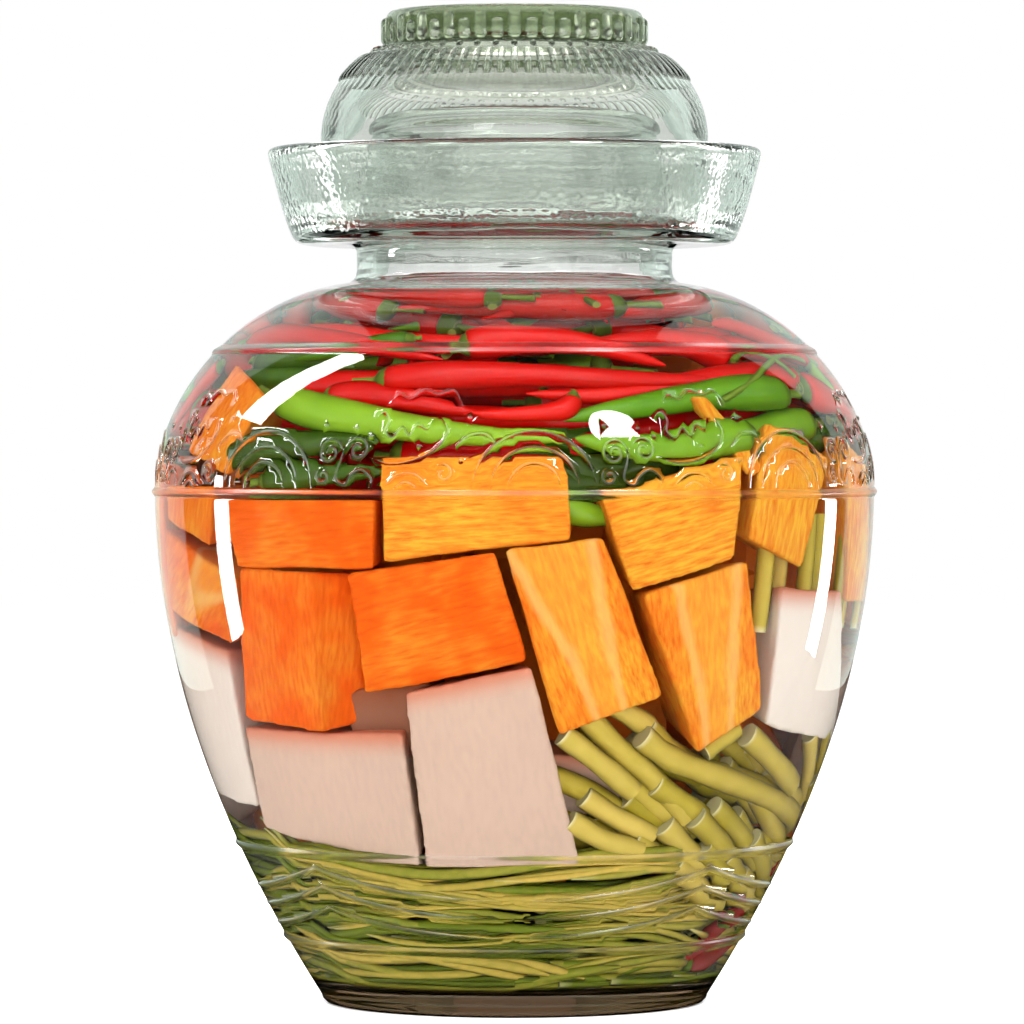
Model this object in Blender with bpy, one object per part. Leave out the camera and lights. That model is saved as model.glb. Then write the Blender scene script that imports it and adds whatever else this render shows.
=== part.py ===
# A five litre glass fermentation crock: a jar whose neck stands in a water moat, a domed lid whose
# skirt stands in that moat, and the vegetables packed against the wall.
# The jar is one piece of glass, and so is the lid. Each is drawn here as plain rings that meet at a seam.
# Metres, +Z up, origin at the middle of the foot. The front of the jar faces -Y.
from math import acos, cos, hypot, pi, radians, sin

import bmesh
import bpy
from mathutils import Vector

MM = 0.001

# Gaps between pieces that touch
SEAM = 0.05 * MM
TOUCH = 0.3 * MM
STACK = 0.4 * MM

# Jar body
FOOT_RADIUS = 57 * MM
FOOT_HEEL = 2.5 * MM
FOOT_LAND = 9 * MM
PUNT_RISE = 3.5 * MM
BASE_THICKNESS = 8 * MM
BELLY_RADIUS = 106 * MM
BELLY_HEIGHT = 152 * MM
LOWER_WALL_POWER = 1.95
SHOULDER_TOP = 212 * MM
SHOULDER_CENTRE = 44 * MM
SHOULDER_POWER = (1.9, 1.8)
WALL = 3.6 * MM
BOWL_TOP_OVER_BELLY = 6 * MM
BELT_RISE = 0.9 * MM
BELT_HALF_WIDTH = 1.6 * MM
UPPER_BELT_SHARE = 2 / 3
BELT_HEIGHTS = (
    BELLY_HEIGHT - BELT_HALF_WIDTH,
    BELLY_HEIGHT + UPPER_BELT_SHARE * (SHOULDER_TOP - BELLY_HEIGHT),
)

# Neck, which stands up through the moat
NECK_RADIUS = 46.5 * MM
NECK_WALL = 4.2 * MM
NECK_FILLET = 2.5 * MM
RIM_RADIUS = 42 * MM
RIM_BEAD = 1.6 * MM
RIM_BEAD_DEPTH = 4.5 * MM
RIM_ABOVE_MOAT_FLOOR = 35.5 * MM

# Moat
MOAT_GAP_OVER_SHOULDER = 11 * MM
MOAT_THICKNESS = 4 * MM
MOAT_FOOT_RADIUS = 61.5 * MM
MOAT_RIM_RADIUS = 72.8 * MM
MOAT_DEPTH = 24.5 * MM
MOAT_BULGE = 2.4 * MM

# Lid
LID_WALL = 3.5 * MM
LID_SKIRT_RADIUS = 55 * MM
LID_BULGE_RADIUS = 57.1 * MM
LID_BULGE_HEIGHT = 26.5 * MM
LID_DOME_RISE = 29 * MM
LID_DOME_CENTRE = 30 * MM
LID_RING_RADIUS = 39.4 * MM
LID_RING_HEIGHT = 11 * MM
LID_RING_WALL = 7 * MM
LID_RING_EDGE = 2.4 * MM
LID_ROOF = 4 * MM
LID_RECESS_FLOOR = 1.2 * MM
RIBS = 48
RING_FLUTE_DEPTH = 0.7 * MM
DOME_RIB_DEPTH = 0.6 * MM

# Vegetables
LONG_BEAN_RADIUS = 1.75 * MM
LONG_BEANS = 2
TURNS_EACH = 4.5
TURN_LEFT_OUT = 0.06
COIL_START = 150
CARROT_DEPTH = 25 * MM
DAIKON_DEPTH = 27 * MM
CARROT_CORE_RADIUS = 44 * MM
CUT_EDGE = 1.2 * MM
STEM_SHARE = 0.28

# How the vegetables are packed. Angles are in degrees from the front, to the right. Heights are in
# hundredths of the way from the bed of long beans to the shoulder, and so are thicknesses.
CUT_BEAN_SHARE = 2.2
CORE_SHARE = 73.9

CARROTS = (
    ((-76, 57), (-52, 49), (-55, 38), (-78, 43)),
    ((-74, 64.4), (-56, 64.7), (-58, 54.6), (-74, 58.8)),
    ((-63, 85.8), (-48, 80.4), (-53, 67.4), (-66, 70.9)),
    ((-54, 62.9), (-23, 62.9), (-23.5, 51), (-50, 51)),
    ((-49.5, 50.1), (-28.5, 49), (-29.5, 24), (-54.5, 25.2)),
    ((-21, 69.7), (7.5, 70), (8.5, 56.1), (-20.5, 52.5)),
    ((-27, 49.9), (-3.5, 53.4), (1.5, 35.6), (-26, 30)),
    ((-1, 53.7), (14, 55.8), (25.5, 29.7), (8, 23.4)),
    ((14, 63.2), (39, 70), (37, 52.5), (19.5, 47.5)),
    ((21.5, 46.3), (40, 51.6), (48, 27), (35, 19.9)),
    ((46, 75.7), (60.5, 69.4), (53, 51), (40.5, 56.1)),
    ((68, 72.7), (79, 67.4), (84, 44.8), (70, 45.1)),
    ((88, 69.1), (122, 63.2), (121, 41.2), (88, 43.6)),
    ((125, 62), (160, 66.8), (157, 38.3), (125, 40.7)),
    ((163, 68), (199, 62), (198, 40.7), (161, 37.1)),
    ((202, 63.2), (240, 68), (239, 37.1), (202, 39.5)),
    ((243, 69.1), (281, 65), (279, 46), (243, 39.5)),
)

DAIKONS = (
    ((-84, 40.7), (-57, 35.9), (-61, 9.8), (-84, 11.6)),
    ((-55.5, 22.8), (-21, 22.6), (-21, 0.6), (-60.5, 5.9)),
    ((-18.5, 29.4), (2.5, 33.8), (13, 1.5), (-18.5, 0.6)),
    ((49, 46.9), (67, 46), (84, 19.9), (51, 24)),
    ((90, 40.7), (133, 37.1), (132, 3.9), (92, 5)),
    ((136, 35.9), (178, 34.7), (177, 2.7), (135, 3.9)),
    ((181, 34.1), (225, 35.3), (224, 5), (180, 2.7)),
    ((228, 33.5), (273, 40.7), (273, 9.8), (227, 3.9)),
)

# Cut beans slope down to the right, from the cut end to the other
CUT_BEANS = (
    ((9.8, 20.5), (17, 16), (23, 11)),
    ((15.8, 22.3), (25, 16.3), (33, 9.8)),
    ((25.5, 22.8), (38, 16), (57, 11.3), (79, 7.1)),
    ((15.5, 8.9), (21, 6.5), (27, 3.9)),
    ((36, 11), (42.5, 7.4), (48, 4.2)),
    ((49, 8.6), (57.5, 6.2), (66, 4.2)),
    ((48.5, 21.7), (60, 17.5), (73, 13.6)),
)

# Chillies: the way from the stem to the tip, and the thickest radius
GREEN_CHILLIES = (
    (((-41, 81.6), (-15, 77.2), (4, 75.7)), 3.56),
    (((50, 83.4), (33, 82.8), (9, 77.4)), 3.56),
    (((43, 76.9), (31, 75.1), (12, 73)), 3.09),
    (((-46, 69.1), (-36, 72.4), (-25, 73.3)), 2.97),
    (((91, 76.9), (125, 71.5), (168, 75.1)), 3.56),
    (((180, 75.7), (220, 72.7), (262, 70.3)), 3.56),
)
RED_CHILLIES = (
    (((-72, 91.7), (-40, 92.9), (-15, 91.1)), 2.73),
    (((-27, 86.9), (3, 85.8), (33, 88.1)), 3.2),
    (((-8, 81.3), (1, 80.4), (8, 82.5)), 1.72),
    (((36, 92.6), (14, 93.8), (-9, 92.3)), 2.85),
    (((39, 88.7), (50, 88.4), (63, 87.5)), 2.73),
    (((54, 81.6), (64, 80.1), (74, 76.9)), 2.97),
    (((43, 94.1), (62, 93.5), (80, 89.3)), 2.85),
    (((-73, 86.9), (-76, 81.6), (-80, 73.9)), 2.61),
    (((92, 85.8), (130, 82.2), (168, 84)), 3.2),
    (((178, 84.6), (215, 85.8), (248, 83.4)), 3.2),
)

# How finely the round pieces are drawn
JAR_STEPS = 44
WALL_STEPS = (10, 11)
FINE_STEPS = 60
SMOOTH_ANGLE = radians(40)


def clear_scene():
    for item in list(bpy.data.objects):
        bpy.data.objects.remove(item, do_unlink=True)


def material(name, colour, roughness, transmission=0.0):
    """A plain Principled material, made once for each name."""
    found = bpy.data.materials.get(name)
    if found:
        return found
    made = bpy.data.materials.new(name)
    made.use_nodes = True
    shader = made.node_tree.nodes["Principled BSDF"]
    shader.inputs["Base Color"].default_value = (*colour, 1)
    shader.inputs["Roughness"].default_value = roughness
    shader.inputs["Metallic"].default_value = 0
    shader.inputs["Transmission Weight"].default_value = transmission
    return made


def glass():
    return material("glass", (0.80, 0.90, 0.85), 0.03, 1.0)


def carrot_flesh():
    return material("carrot", (0.93, 0.30, 0.02), 0.45)


def daikon_flesh():
    return material("daikon", (0.86, 0.74, 0.64), 0.4)


def bean_skin():
    return material("bean", (0.38, 0.42, 0.11), 0.45)


def green_skin():
    return material("green_chilli", (0.20, 0.42, 0.03), 0.25)


def red_skin():
    return material("red_chilli", (0.75, 0.02, 0.01), 0.22)


def add_object(name, mesh, finish):
    mesh.materials.append(finish)
    made = bpy.data.objects.new(name, mesh)
    bpy.context.scene.collection.objects.link(made)
    return made


def finish_mesh(name, work, finish):
    """Turns a bmesh into a smooth shaded object."""
    bmesh.ops.recalc_face_normals(work, faces=work.faces)
    mesh = bpy.data.meshes.new(name)
    work.to_mesh(mesh)
    work.free()
    mesh.shade_smooth()
    mesh.set_sharp_from_angle(angle=SMOOTH_ANGLE)
    return add_object(name, mesh, finish)


def lathe(outline, steps):
    """A bmesh turned about Z from an outline of (radius, height) points.

    An outline that starts and ends on the axis makes a round solid, and any other is closed to make a ring.
    """
    work = bmesh.new()
    points = [work.verts.new((radius, 0, height)) for radius, height in outline]
    edges = [work.edges.new(pair) for pair in zip(points, points[1:])]
    if outline[0][0] or outline[-1][0]:
        edges.append(work.edges.new((points[-1], points[0])))
    bmesh.ops.spin(
        work,
        geom=points + edges,
        axis=(0, 0, 1),
        cent=(0, 0, 0),
        angle=2 * pi,
        steps=steps,
        use_merge=True,
    )
    bmesh.ops.remove_doubles(work, verts=work.verts, dist=0.001 * MM)
    return work


def along(start, end, count):
    """count + 1 shares from start to end."""
    return [start + (end - start) * i / count for i in range(count + 1)]


def inset(points, distance):
    """The open outline moved sideways, to the left of its own direction."""
    moved = []
    for i, (r, z) in enumerate(points):
        before = points[max(i - 1, 0)]
        after = points[min(i + 1, len(points) - 1)]
        dr, dz = after[0] - before[0], after[1] - before[1]
        length = hypot(dr, dz)
        moved.append((r - dz / length * distance, z + dr / length * distance))
    return moved


def lower_wall(share):
    """Outer wall from the heel, share 0, to the belly, share 1."""
    height = FOOT_HEEL + (BELLY_HEIGHT - FOOT_HEEL) * share
    fall = (1 - share) ** LOWER_WALL_POWER
    return BELLY_RADIUS - (BELLY_RADIUS - FOOT_RADIUS) * fall, height


def shoulder_wall(share):
    """Outer wall from the belly, share 0, to the foot of the neck, share 1."""
    radius_power, height_power = SHOULDER_POWER
    reach = BELLY_RADIUS - SHOULDER_CENTRE
    neck_share = (NECK_RADIUS - SHOULDER_CENTRE) / reach
    turn = pi / 2 * share
    radius = max(cos(turn), 0) ** (2 / radius_power)
    height = sin(turn) ** (2 / height_power) if share else 0
    return (
        SHOULDER_CENTRE + reach * max(radius, neck_share),
        BELLY_HEIGHT + (SHOULDER_TOP - BELLY_HEIGHT) * height,
    )


def wall_curve(lower_steps, shoulder_steps):
    """The plain outer wall of the body, with no belts."""
    lower = [lower_wall(s) for s in along(0, 1, lower_steps)]
    shoulder = [shoulder_wall(s) for s in along(0, 0.93, shoulder_steps)]
    return lower + shoulder[1:]


def belted(points):
    """The wall with its two raised belts."""
    made = list(points)
    for belt in BELT_HEIGHTS:
        made = [p for p in made if abs(p[1] - belt) > 1.6 * BELT_HALF_WIDTH]
        below = max((p for p in made if p[1] < belt), key=lambda p: p[1])
        above = min((p for p in made if p[1] > belt), key=lambda p: p[1])
        at = made.index(above)

        def on_wall(height, rise):
            share = (height - below[1]) / (above[1] - below[1])
            chord = below[0] + (above[0] - below[0]) * share
            return (wall_radius_outside(height, chord) + rise, height)

        made[at:at] = [
            on_wall(belt - BELT_HALF_WIDTH, 0),
            on_wall(belt, BELT_RISE),
            on_wall(belt + BELT_HALF_WIDTH, 0),
        ]
    return made


def between(points, height):
    """Radius of an outline whose heights rise, at one height."""
    for (r0, z0), (r1, z1) in zip(points, points[1:]):
        if z0 <= height <= z1:
            return r0 + (r1 - r0) * (height - z0) / (z1 - z0)
    return points[0][0] if height < points[0][1] else points[-1][0]


def wall_radius_outside(height, fallback):
    fine = wall_curve(FINE_STEPS, FINE_STEPS)
    if fine[0][1] <= height <= fine[-1][1]:
        return between(fine, height)
    return fallback


def inner_wall():
    """The inside of the body, drawn in by as much as the flats of the faceted wall stand inside the curve."""
    flats = 1.8 * BELLY_RADIUS * (1 - cos(pi / JAR_STEPS))
    curve = inset(wall_curve(FINE_STEPS, FINE_STEPS), WALL + flats)
    return [p for p in curve if p[1] >= FLOOR + 2 * MM]


FLOOR = BASE_THICKNESS
INNER_WALL = inner_wall()


def wall_at(height):
    """Point of the inner wall at a height, and the direction from it into the jar, both as (r, z)."""
    height = min(max(height, INNER_WALL[0][1]), INNER_WALL[-1][1] - 0.01 * MM)
    for (r0, z0), (r1, z1) in zip(INNER_WALL, INNER_WALL[1:]):
        if z0 <= height <= z1:
            share = (height - z0) / (z1 - z0)
            length = hypot(r1 - r0, z1 - z0)
            inwards = (-(z1 - z0) / length, (r1 - r0) / length)
            return (r0 + (r1 - r0) * share, height), inwards
    raise ValueError(f"no wall at {height}")


def round_the_jar(angle, radius, height):
    """A point from its angle from the front, in degrees, its radius and its height."""
    turn = radians(angle)
    return Vector((radius * sin(turn), -radius * cos(turn), height))


def inside_wall(angle, height, depth):
    """A point that lies a depth inside the wall that is at this height."""
    (radius, height), (in_r, in_z) = wall_at(height)
    return round_the_jar(angle, radius + in_r * depth, height + in_z * depth)


def neck_lines():
    """Heights of the moat and the neck, all from the top of the shoulder."""
    underside = SHOULDER_TOP + MOAT_GAP_OVER_SHOULDER
    moat_floor = underside + MOAT_THICKNESS
    return underside, moat_floor, moat_floor + RIM_ABOVE_MOAT_FLOOR


def clipped(points, low, high):
    """The part of an outline that lies between two heights. Its heights rise."""
    kept = [p for p in points if low < p[1] < high]
    if points[0][1] < low:
        kept.insert(0, (between(points, low), low))
    if points[-1][1] > high:
        kept.append((between(points, high), high))
    return kept


def bowl_outline():
    """The foot, the floor and the wall up to just over the belly."""
    top = BELLY_HEIGHT + BOWL_TOP_OVER_BELLY
    under_foot = [
        (0, PUNT_RISE),
        (FOOT_RADIUS - FOOT_HEEL - FOOT_LAND - 6 * MM, PUNT_RISE),
        (FOOT_RADIUS - FOOT_HEEL - FOOT_LAND, 0),
        (FOOT_RADIUS - FOOT_HEEL, 0),
    ]
    outside = clipped(belted(wall_curve(*WALL_STEPS)), 0, top)
    inside = clipped(inset(wall_curve(*WALL_STEPS), WALL), FLOOR + 3 * MM, top)
    inside.reverse()
    floor = [(inside[-1][0] - 3 * MM, FLOOR), (0, FLOOR)]
    return under_foot + outside + inside + floor


def shoulder_outline():
    """The wall from the bowl in to the foot of the neck."""
    low = BELLY_HEIGHT + BOWL_TOP_OVER_BELLY + SEAM
    waist = SHOULDER_TOP + MOAT_GAP_OVER_SHOULDER / 2
    outside = clipped(belted(wall_curve(*WALL_STEPS)), low, waist)
    inside = clipped(inset(wall_curve(*WALL_STEPS), WALL), low, waist)
    inside.reverse()
    return outside + [(NECK_RADIUS, waist), (NECK_RADIUS - NECK_WALL, waist)] + inside


def neck_outline():
    underside, moat_floor, rim = neck_lines()
    waist = SHOULDER_TOP + MOAT_GAP_OVER_SHOULDER / 2 + SEAM
    bead = RIM_RADIUS + RIM_BEAD
    return [
        (NECK_RADIUS, waist),
        (NECK_RADIUS, moat_floor),
        (RIM_RADIUS, rim - RIM_BEAD_DEPTH),
        (bead, rim - 0.7 * RIM_BEAD_DEPTH),
        (bead, rim - 0.25 * RIM_BEAD_DEPTH),
        (RIM_RADIUS - 0.1 * NECK_WALL, rim),
        (RIM_RADIUS - 0.7 * NECK_WALL, rim),
        (RIM_RADIUS - NECK_WALL, rim - 0.3 * RIM_BEAD_DEPTH),
        (NECK_RADIUS - NECK_WALL, underside),
        (NECK_RADIUS - NECK_WALL, waist),
    ]


def moat_floor_outline():
    underside, moat_floor, _ = neck_lines()
    near = NECK_RADIUS + SEAM
    far = MOAT_FOOT_RADIUS - 0.2 * MOAT_THICKNESS - SEAM
    return [
        (near, underside - 0.7 * NECK_FILLET),
        (near + NECK_FILLET, underside),
        (far, underside),
        (far, moat_floor),
        (near, moat_floor),
    ]


def moat_wall_outline():
    underside, moat_floor, _ = neck_lines()
    top = underside + MOAT_THICKNESS + MOAT_DEPTH
    flare = MOAT_RIM_RADIUS - MOAT_FOOT_RADIUS
    near = MOAT_FOOT_RADIUS - 0.2 * MOAT_THICKNESS
    outside = [(near, underside), (MOAT_FOOT_RADIUS, underside)]
    outside.append((MOAT_FOOT_RADIUS + 0.45 * flare, underside + 0.08 * MOAT_DEPTH))
    for share in (0.3, 0.55, 0.8):
        radius = MOAT_FOOT_RADIUS + flare * share + MOAT_BULGE * sin(pi * share ** 0.8)
        outside.append((radius, underside + (top - underside) * share))
    lip = [
        (MOAT_RIM_RADIUS, top - 0.4 * MOAT_THICKNESS),
        (MOAT_RIM_RADIUS - 0.3 * MOAT_THICKNESS, top),
        (MOAT_RIM_RADIUS - 0.7 * MOAT_THICKNESS, top),
        (MOAT_RIM_RADIUS - MOAT_THICKNESS, top - 0.4 * MOAT_THICKNESS),
    ]
    lowest = moat_floor + 0.08 * MOAT_DEPTH
    inside = [(r - MOAT_THICKNESS, max(z, lowest)) for r, z in reversed(outside[3:])]
    return outside + lip + inside + [(near, moat_floor)]


def make_jar():
    for name, outline in (
        ("jar_bowl", bowl_outline()),
        ("jar_shoulder", shoulder_outline()),
        ("jar_neck", neck_outline()),
        ("moat_floor", moat_floor_outline()),
        ("moat_wall", moat_wall_outline()),
    ):
        finish_mesh(name, lathe(outline, JAR_STEPS), glass())


def lid_lines():
    """The lid's lower edge, bulge, ring foot and top, and the turn of the dome at the ring."""
    edge = neck_lines()[1] + TOUCH
    bulge = edge + LID_BULGE_HEIGHT
    ring_turn = acos((LID_RING_RADIUS - LID_DOME_CENTRE) / (LID_BULGE_RADIUS - LID_DOME_CENTRE))
    ring_foot = bulge + LID_DOME_RISE * sin(ring_turn)
    return edge, bulge, ring_foot, ring_foot + LID_RING_HEIGHT, ring_turn


def dome(reach, rise, turn):
    """Point of the lid's dome, which is part of an ellipse in section."""
    return LID_DOME_CENTRE + reach * cos(turn), rise * sin(turn)


def skirt_outline():
    edge, bulge = lid_lines()[:2]
    waist_radius = LID_SKIRT_RADIUS + 0.6 * (LID_BULGE_RADIUS - LID_SKIRT_RADIUS)
    waist = edge + 0.4 * LID_BULGE_HEIGHT
    return [
        (LID_SKIRT_RADIUS - 0.3 * LID_WALL, edge),
        (LID_SKIRT_RADIUS, edge + 0.3 * LID_WALL),
        (waist_radius, waist),
        (LID_BULGE_RADIUS, bulge - SEAM),
        (LID_BULGE_RADIUS - LID_WALL, bulge - SEAM),
        (waist_radius - LID_WALL, waist),
        (LID_SKIRT_RADIUS - LID_WALL, edge + 0.3 * LID_WALL),
        (LID_SKIRT_RADIUS - 0.7 * LID_WALL, edge),
    ]


def dome_outline():
    """The dome and the roof over it. The ring stands on the roof's edge."""
    bulge, ring_foot = lid_lines()[1:3]
    ring_turn = lid_lines()[4]
    reach = LID_BULGE_RADIUS - LID_DOME_CENTRE
    outside = []
    for turn in along(0, ring_turn, 7):
        radius, height = dome(reach, LID_DOME_RISE, turn)
        outside.append((radius, bulge + height))
    ring_inside = LID_RING_RADIUS - LID_RING_WALL - 1 * MM - SEAM
    roof = [
        (ring_inside, ring_foot),
        (ring_inside - 3 * MM, ring_foot + LID_RECESS_FLOOR),
        (0, ring_foot + LID_RECESS_FLOOR),
    ]
    ceiling = ring_foot + LID_RECESS_FLOOR - LID_ROOF
    inside = [(0, ceiling), (LID_DOME_CENTRE, ceiling)]
    for turn in along(ring_turn, 0, 3):
        radius, height = dome(reach - LID_WALL, ceiling - bulge, turn)
        inside.append((radius, bulge + height))
    # The outline runs from the axis, down inside the dome, up the outside and back to the axis
    return inside + outside + roof


def ring_outline():
    ring_foot, top = lid_lines()[2:4]
    inner = LID_RING_RADIUS - LID_RING_WALL
    return [
        (LID_RING_RADIUS, ring_foot + SEAM),
        (LID_RING_RADIUS, top - 1.6 * LID_RING_EDGE),
        (LID_RING_RADIUS - 0.3 * LID_RING_EDGE, top - 0.6 * LID_RING_EDGE),
        (LID_RING_RADIUS - LID_RING_EDGE, top),
        (inner + 0.6 * LID_RING_EDGE, top),
        (inner, top - 0.6 * LID_RING_EDGE),
        (inner - 1 * MM, ring_foot + 2 * LID_RECESS_FLOOR),
        (inner - 1 * MM, ring_foot + SEAM),
    ]


def ripple(work, depth, low, high, fall):
    """Cuts flutes round the outside, between two heights. They also sink by a share of their depth."""
    for point in work.verts:
        flat = Vector((point.co.x, point.co.y))
        radius = flat.length
        if radius < LID_RING_RADIUS - 0.1 * MM or not low < point.co.z < high:
            continue
        cut = depth * 0.5 * (1 - cos(RIBS * flat.angle_signed(Vector((1, 0)))))
        point.co.x -= point.co.x / radius * cut
        point.co.y -= point.co.y / radius * cut
        point.co.z -= cut * fall


def make_lid():
    bulge, ring_foot, top = lid_lines()[1:4]
    finish_mesh("lid_skirt", lathe(skirt_outline(), RIBS), glass())
    work = lathe(dome_outline(), 2 * RIBS)
    ripple(work, DOME_RIB_DEPTH, bulge + 0.62 * LID_DOME_RISE, ring_foot + 0.1 * MM, 1)
    finish_mesh("lid_dome", work, glass())
    work = lathe(ring_outline(), 2 * RIBS)
    ripple(work, RING_FLUTE_DEPTH, ring_foot, top - LID_RING_EDGE, 0)
    finish_mesh("lid_ring", work, glass())


def climb(run):
    """Height of the inner wall where it has run a given length up from the floor."""
    done = 0.0
    for (r0, z0), (r1, z1) in zip(INNER_WALL, INNER_WALL[1:]):
        step = hypot(r1 - r0, z1 - z0)
        if done + step >= run:
            return z0 + (z1 - z0) * (run - done) / step
        done += step
    raise ValueError("the coils are taller than the wall")


COIL_PITCH = 2 * LONG_BEAN_RADIUS + STACK
BED_TOP = climb(LONG_BEAN_RADIUS + COIL_PITCH * LONG_BEANS * TURNS_EACH) + LONG_BEAN_RADIUS
FILL_STEP = (SHOULDER_TOP - BED_TOP) / 100


def level(share):
    """A height, from its hundredths of the way from the bed to the shoulder."""
    return BED_TOP + share * FILL_STEP


def seat_against_wall(work):
    """Moves a piece outwards until its nearest point is TOUCH from the wall."""
    slack = []
    for point in work.verts:
        (radius, _), (in_r, _) = wall_at(point.co.z)
        slack.append((radius - hypot(point.co.x, point.co.y)) * -in_r - TOUCH)
    shift = min(slack)
    for point in work.verts:
        flat = Vector((point.co.x, point.co.y, 0))
        point.co += flat.normalized() * shift


def wall_chunk(name, corners, depth, finish):
    """A cut block packed against the wall. Its corners run round its outer face from the top left."""
    work = bmesh.new()
    outer = [work.verts.new(inside_wall(angle, level(share), TOUCH)) for angle, share in corners]
    inner = [work.verts.new(inside_wall(angle, level(share), depth)) for angle, share in corners]
    work.faces.new(outer)
    work.faces.new(reversed(inner))
    for i in range(4):
        j = (i + 1) % 4
        work.faces.new((outer[i], inner[i], inner[j], outer[j]))
    bmesh.ops.bevel(
        work, geom=work.edges[:] + work.verts[:], offset=CUT_EDGE, segments=1, affect="EDGES"
    )
    bmesh.ops.triangulate(work, faces=work.faces)
    seat_against_wall(work)
    return finish_mesh(name, work, finish)


def smooth_path(points, count):
    """count + 1 points on one smooth curve through the given (angle, height) points."""
    ends = [points[0], *points, points[-1]]
    made = []
    for i in range(count + 1):
        at = i / count * (len(points) - 1)
        k = min(int(at), len(points) - 2)
        t = at - k
        a, b, c, d = ends[k : k + 4]
        made.append(
            tuple(
                0.5
                * (
                    2 * q
                    + (r - p) * t
                    + (2 * p - 5 * q + 4 * r - s) * t * t
                    + (3 * q - p - 3 * r + s) * t ** 3
                )
                for p, q, r, s in zip(a, b, c, d)
            )
        )
    return made


def tube(name, points, radii, resolution, finish):
    """A round tube along points, with a radius at each and closed ends."""
    curve = bpy.data.curves.new(name, "CURVE")
    curve.dimensions = "3D"
    curve.bevel_depth = max(radii)
    curve.bevel_resolution = resolution
    curve.use_fill_caps = True
    spline = curve.splines.new("POLY")
    spline.points.add(len(points) - 1)
    for place, point, radius in zip(spline.points, points, radii):
        place.co = (*point, 1)
        place.radius = radius / curve.bevel_depth
    return add_object(name, curve, finish)


def make_bean_bed():
    """Long beans wound up the wall from the floor, and the nest of beans that they ring."""
    points_a_turn = 16
    for number in range(1, LONG_BEANS + 1):
        start = (number - 1) * TURNS_EACH
        points = []
        for turns in along(start, start + TURNS_EACH - TURN_LEFT_OUT, int(TURNS_EACH * points_a_turn)):
            height = climb(LONG_BEAN_RADIUS + COIL_PITCH * turns)
            points.append(inside_wall(360 * turns + COIL_START, height, LONG_BEAN_RADIUS + TOUCH))
        tube(f"bean_coil_{number}", points, [LONG_BEAN_RADIUS] * len(points), 1, bean_skin())
    clear = 2 * LONG_BEAN_RADIUS + 4 * STACK
    side = [inside_wall(90, height, clear) for height in along(INNER_WALL[0][1], BED_TOP, 4)]
    side = [(point.x, point.z) for point in side if point.z < BED_TOP]
    outline = [(0, FLOOR + TOUCH), (side[0][0] - 3 * MM, FLOOR + TOUCH), *side]
    outline += [(side[-1][0], BED_TOP), (0, BED_TOP)]
    finish_mesh("bean_nest", lathe(outline, JAR_STEPS // 2), bean_skin())


def make_cut_beans():
    radius = CUT_BEAN_SHARE * FILL_STEP
    for number, way in enumerate(CUT_BEANS, 1):
        path = smooth_path(way, 4 * len(way) - 5)
        points = [inside_wall(angle, level(share), radius + TOUCH) for angle, share in path]
        tube(f"cut_bean_{number}", points, [radius] * len(points), 2, bean_skin())


def chilli_radius(share, widest):
    """Stem, then a body that swells behind its cap and runs out to a tip."""
    if share < 0.12:
        return STEM_SHARE * widest
    body = (share - 0.12) / 0.88
    return widest * (0.16 + 0.84 * (1 - body ** 2.2) * (0.86 + 0.14 * sin(pi * min(body * 2, 1))))


def make_chillies(kind, chillies, finish):
    steps = 10
    for number, (way, thickness) in enumerate(chillies, 1):
        widest = thickness * FILL_STEP
        path = smooth_path(way, steps)
        shares = along(0, 1, steps)
        radii = [chilli_radius(share, widest) for share in shares]
        points = [
            inside_wall(angle, level(height), 0.1 * widest + 0.9 * radius + TOUCH)
            for (angle, height), radius in zip(path, radii)
        ]
        tube(f"{kind}_{number}", points, radii, 2, finish)


def make_core():
    """The carrots in the middle, packed upright on the nest of beans."""
    low = BED_TOP + STACK
    high = level(CORE_SHARE)
    work = bmesh.new()
    bmesh.ops.create_cone(
        work,
        cap_ends=True,
        segments=20,
        radius1=CARROT_CORE_RADIUS,
        radius2=CARROT_CORE_RADIUS,
        depth=high - low,
    )
    bmesh.ops.translate(work, verts=work.verts, vec=(0, 0, (low + high) / 2))
    finish_mesh("carrot_core", work, carrot_flesh())


def main():
    clear_scene()
    make_jar()
    make_lid()
    for number, corners in enumerate(CARROTS, 1):
        wall_chunk(f"carrot_{number}", corners, CARROT_DEPTH, carrot_flesh())
    for number, corners in enumerate(DAIKONS, 1):
        wall_chunk(f"daikon_{number}", corners, DAIKON_DEPTH, daikon_flesh())
    make_bean_bed()
    make_cut_beans()
    make_chillies("green_chilli", GREEN_CHILLIES, green_skin())
    make_chillies("red_chilli", RED_CHILLIES, red_skin())
    make_core()


main()
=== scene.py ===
# %% [markdown]
# # A glass fermentation crock, packed with vegetables
# The real object is a pressed glass pickling jar. Its neck stands in a ring-shaped moat, a domed lid
# stands in the moat over the neck, and the belly is packed with carrot, daikon, beans and chillies in
# brine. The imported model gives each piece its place, and this script gives each piece its looks.
# Angles run from the front to the right, in degrees, and heights and depths are in millimetres.

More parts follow.
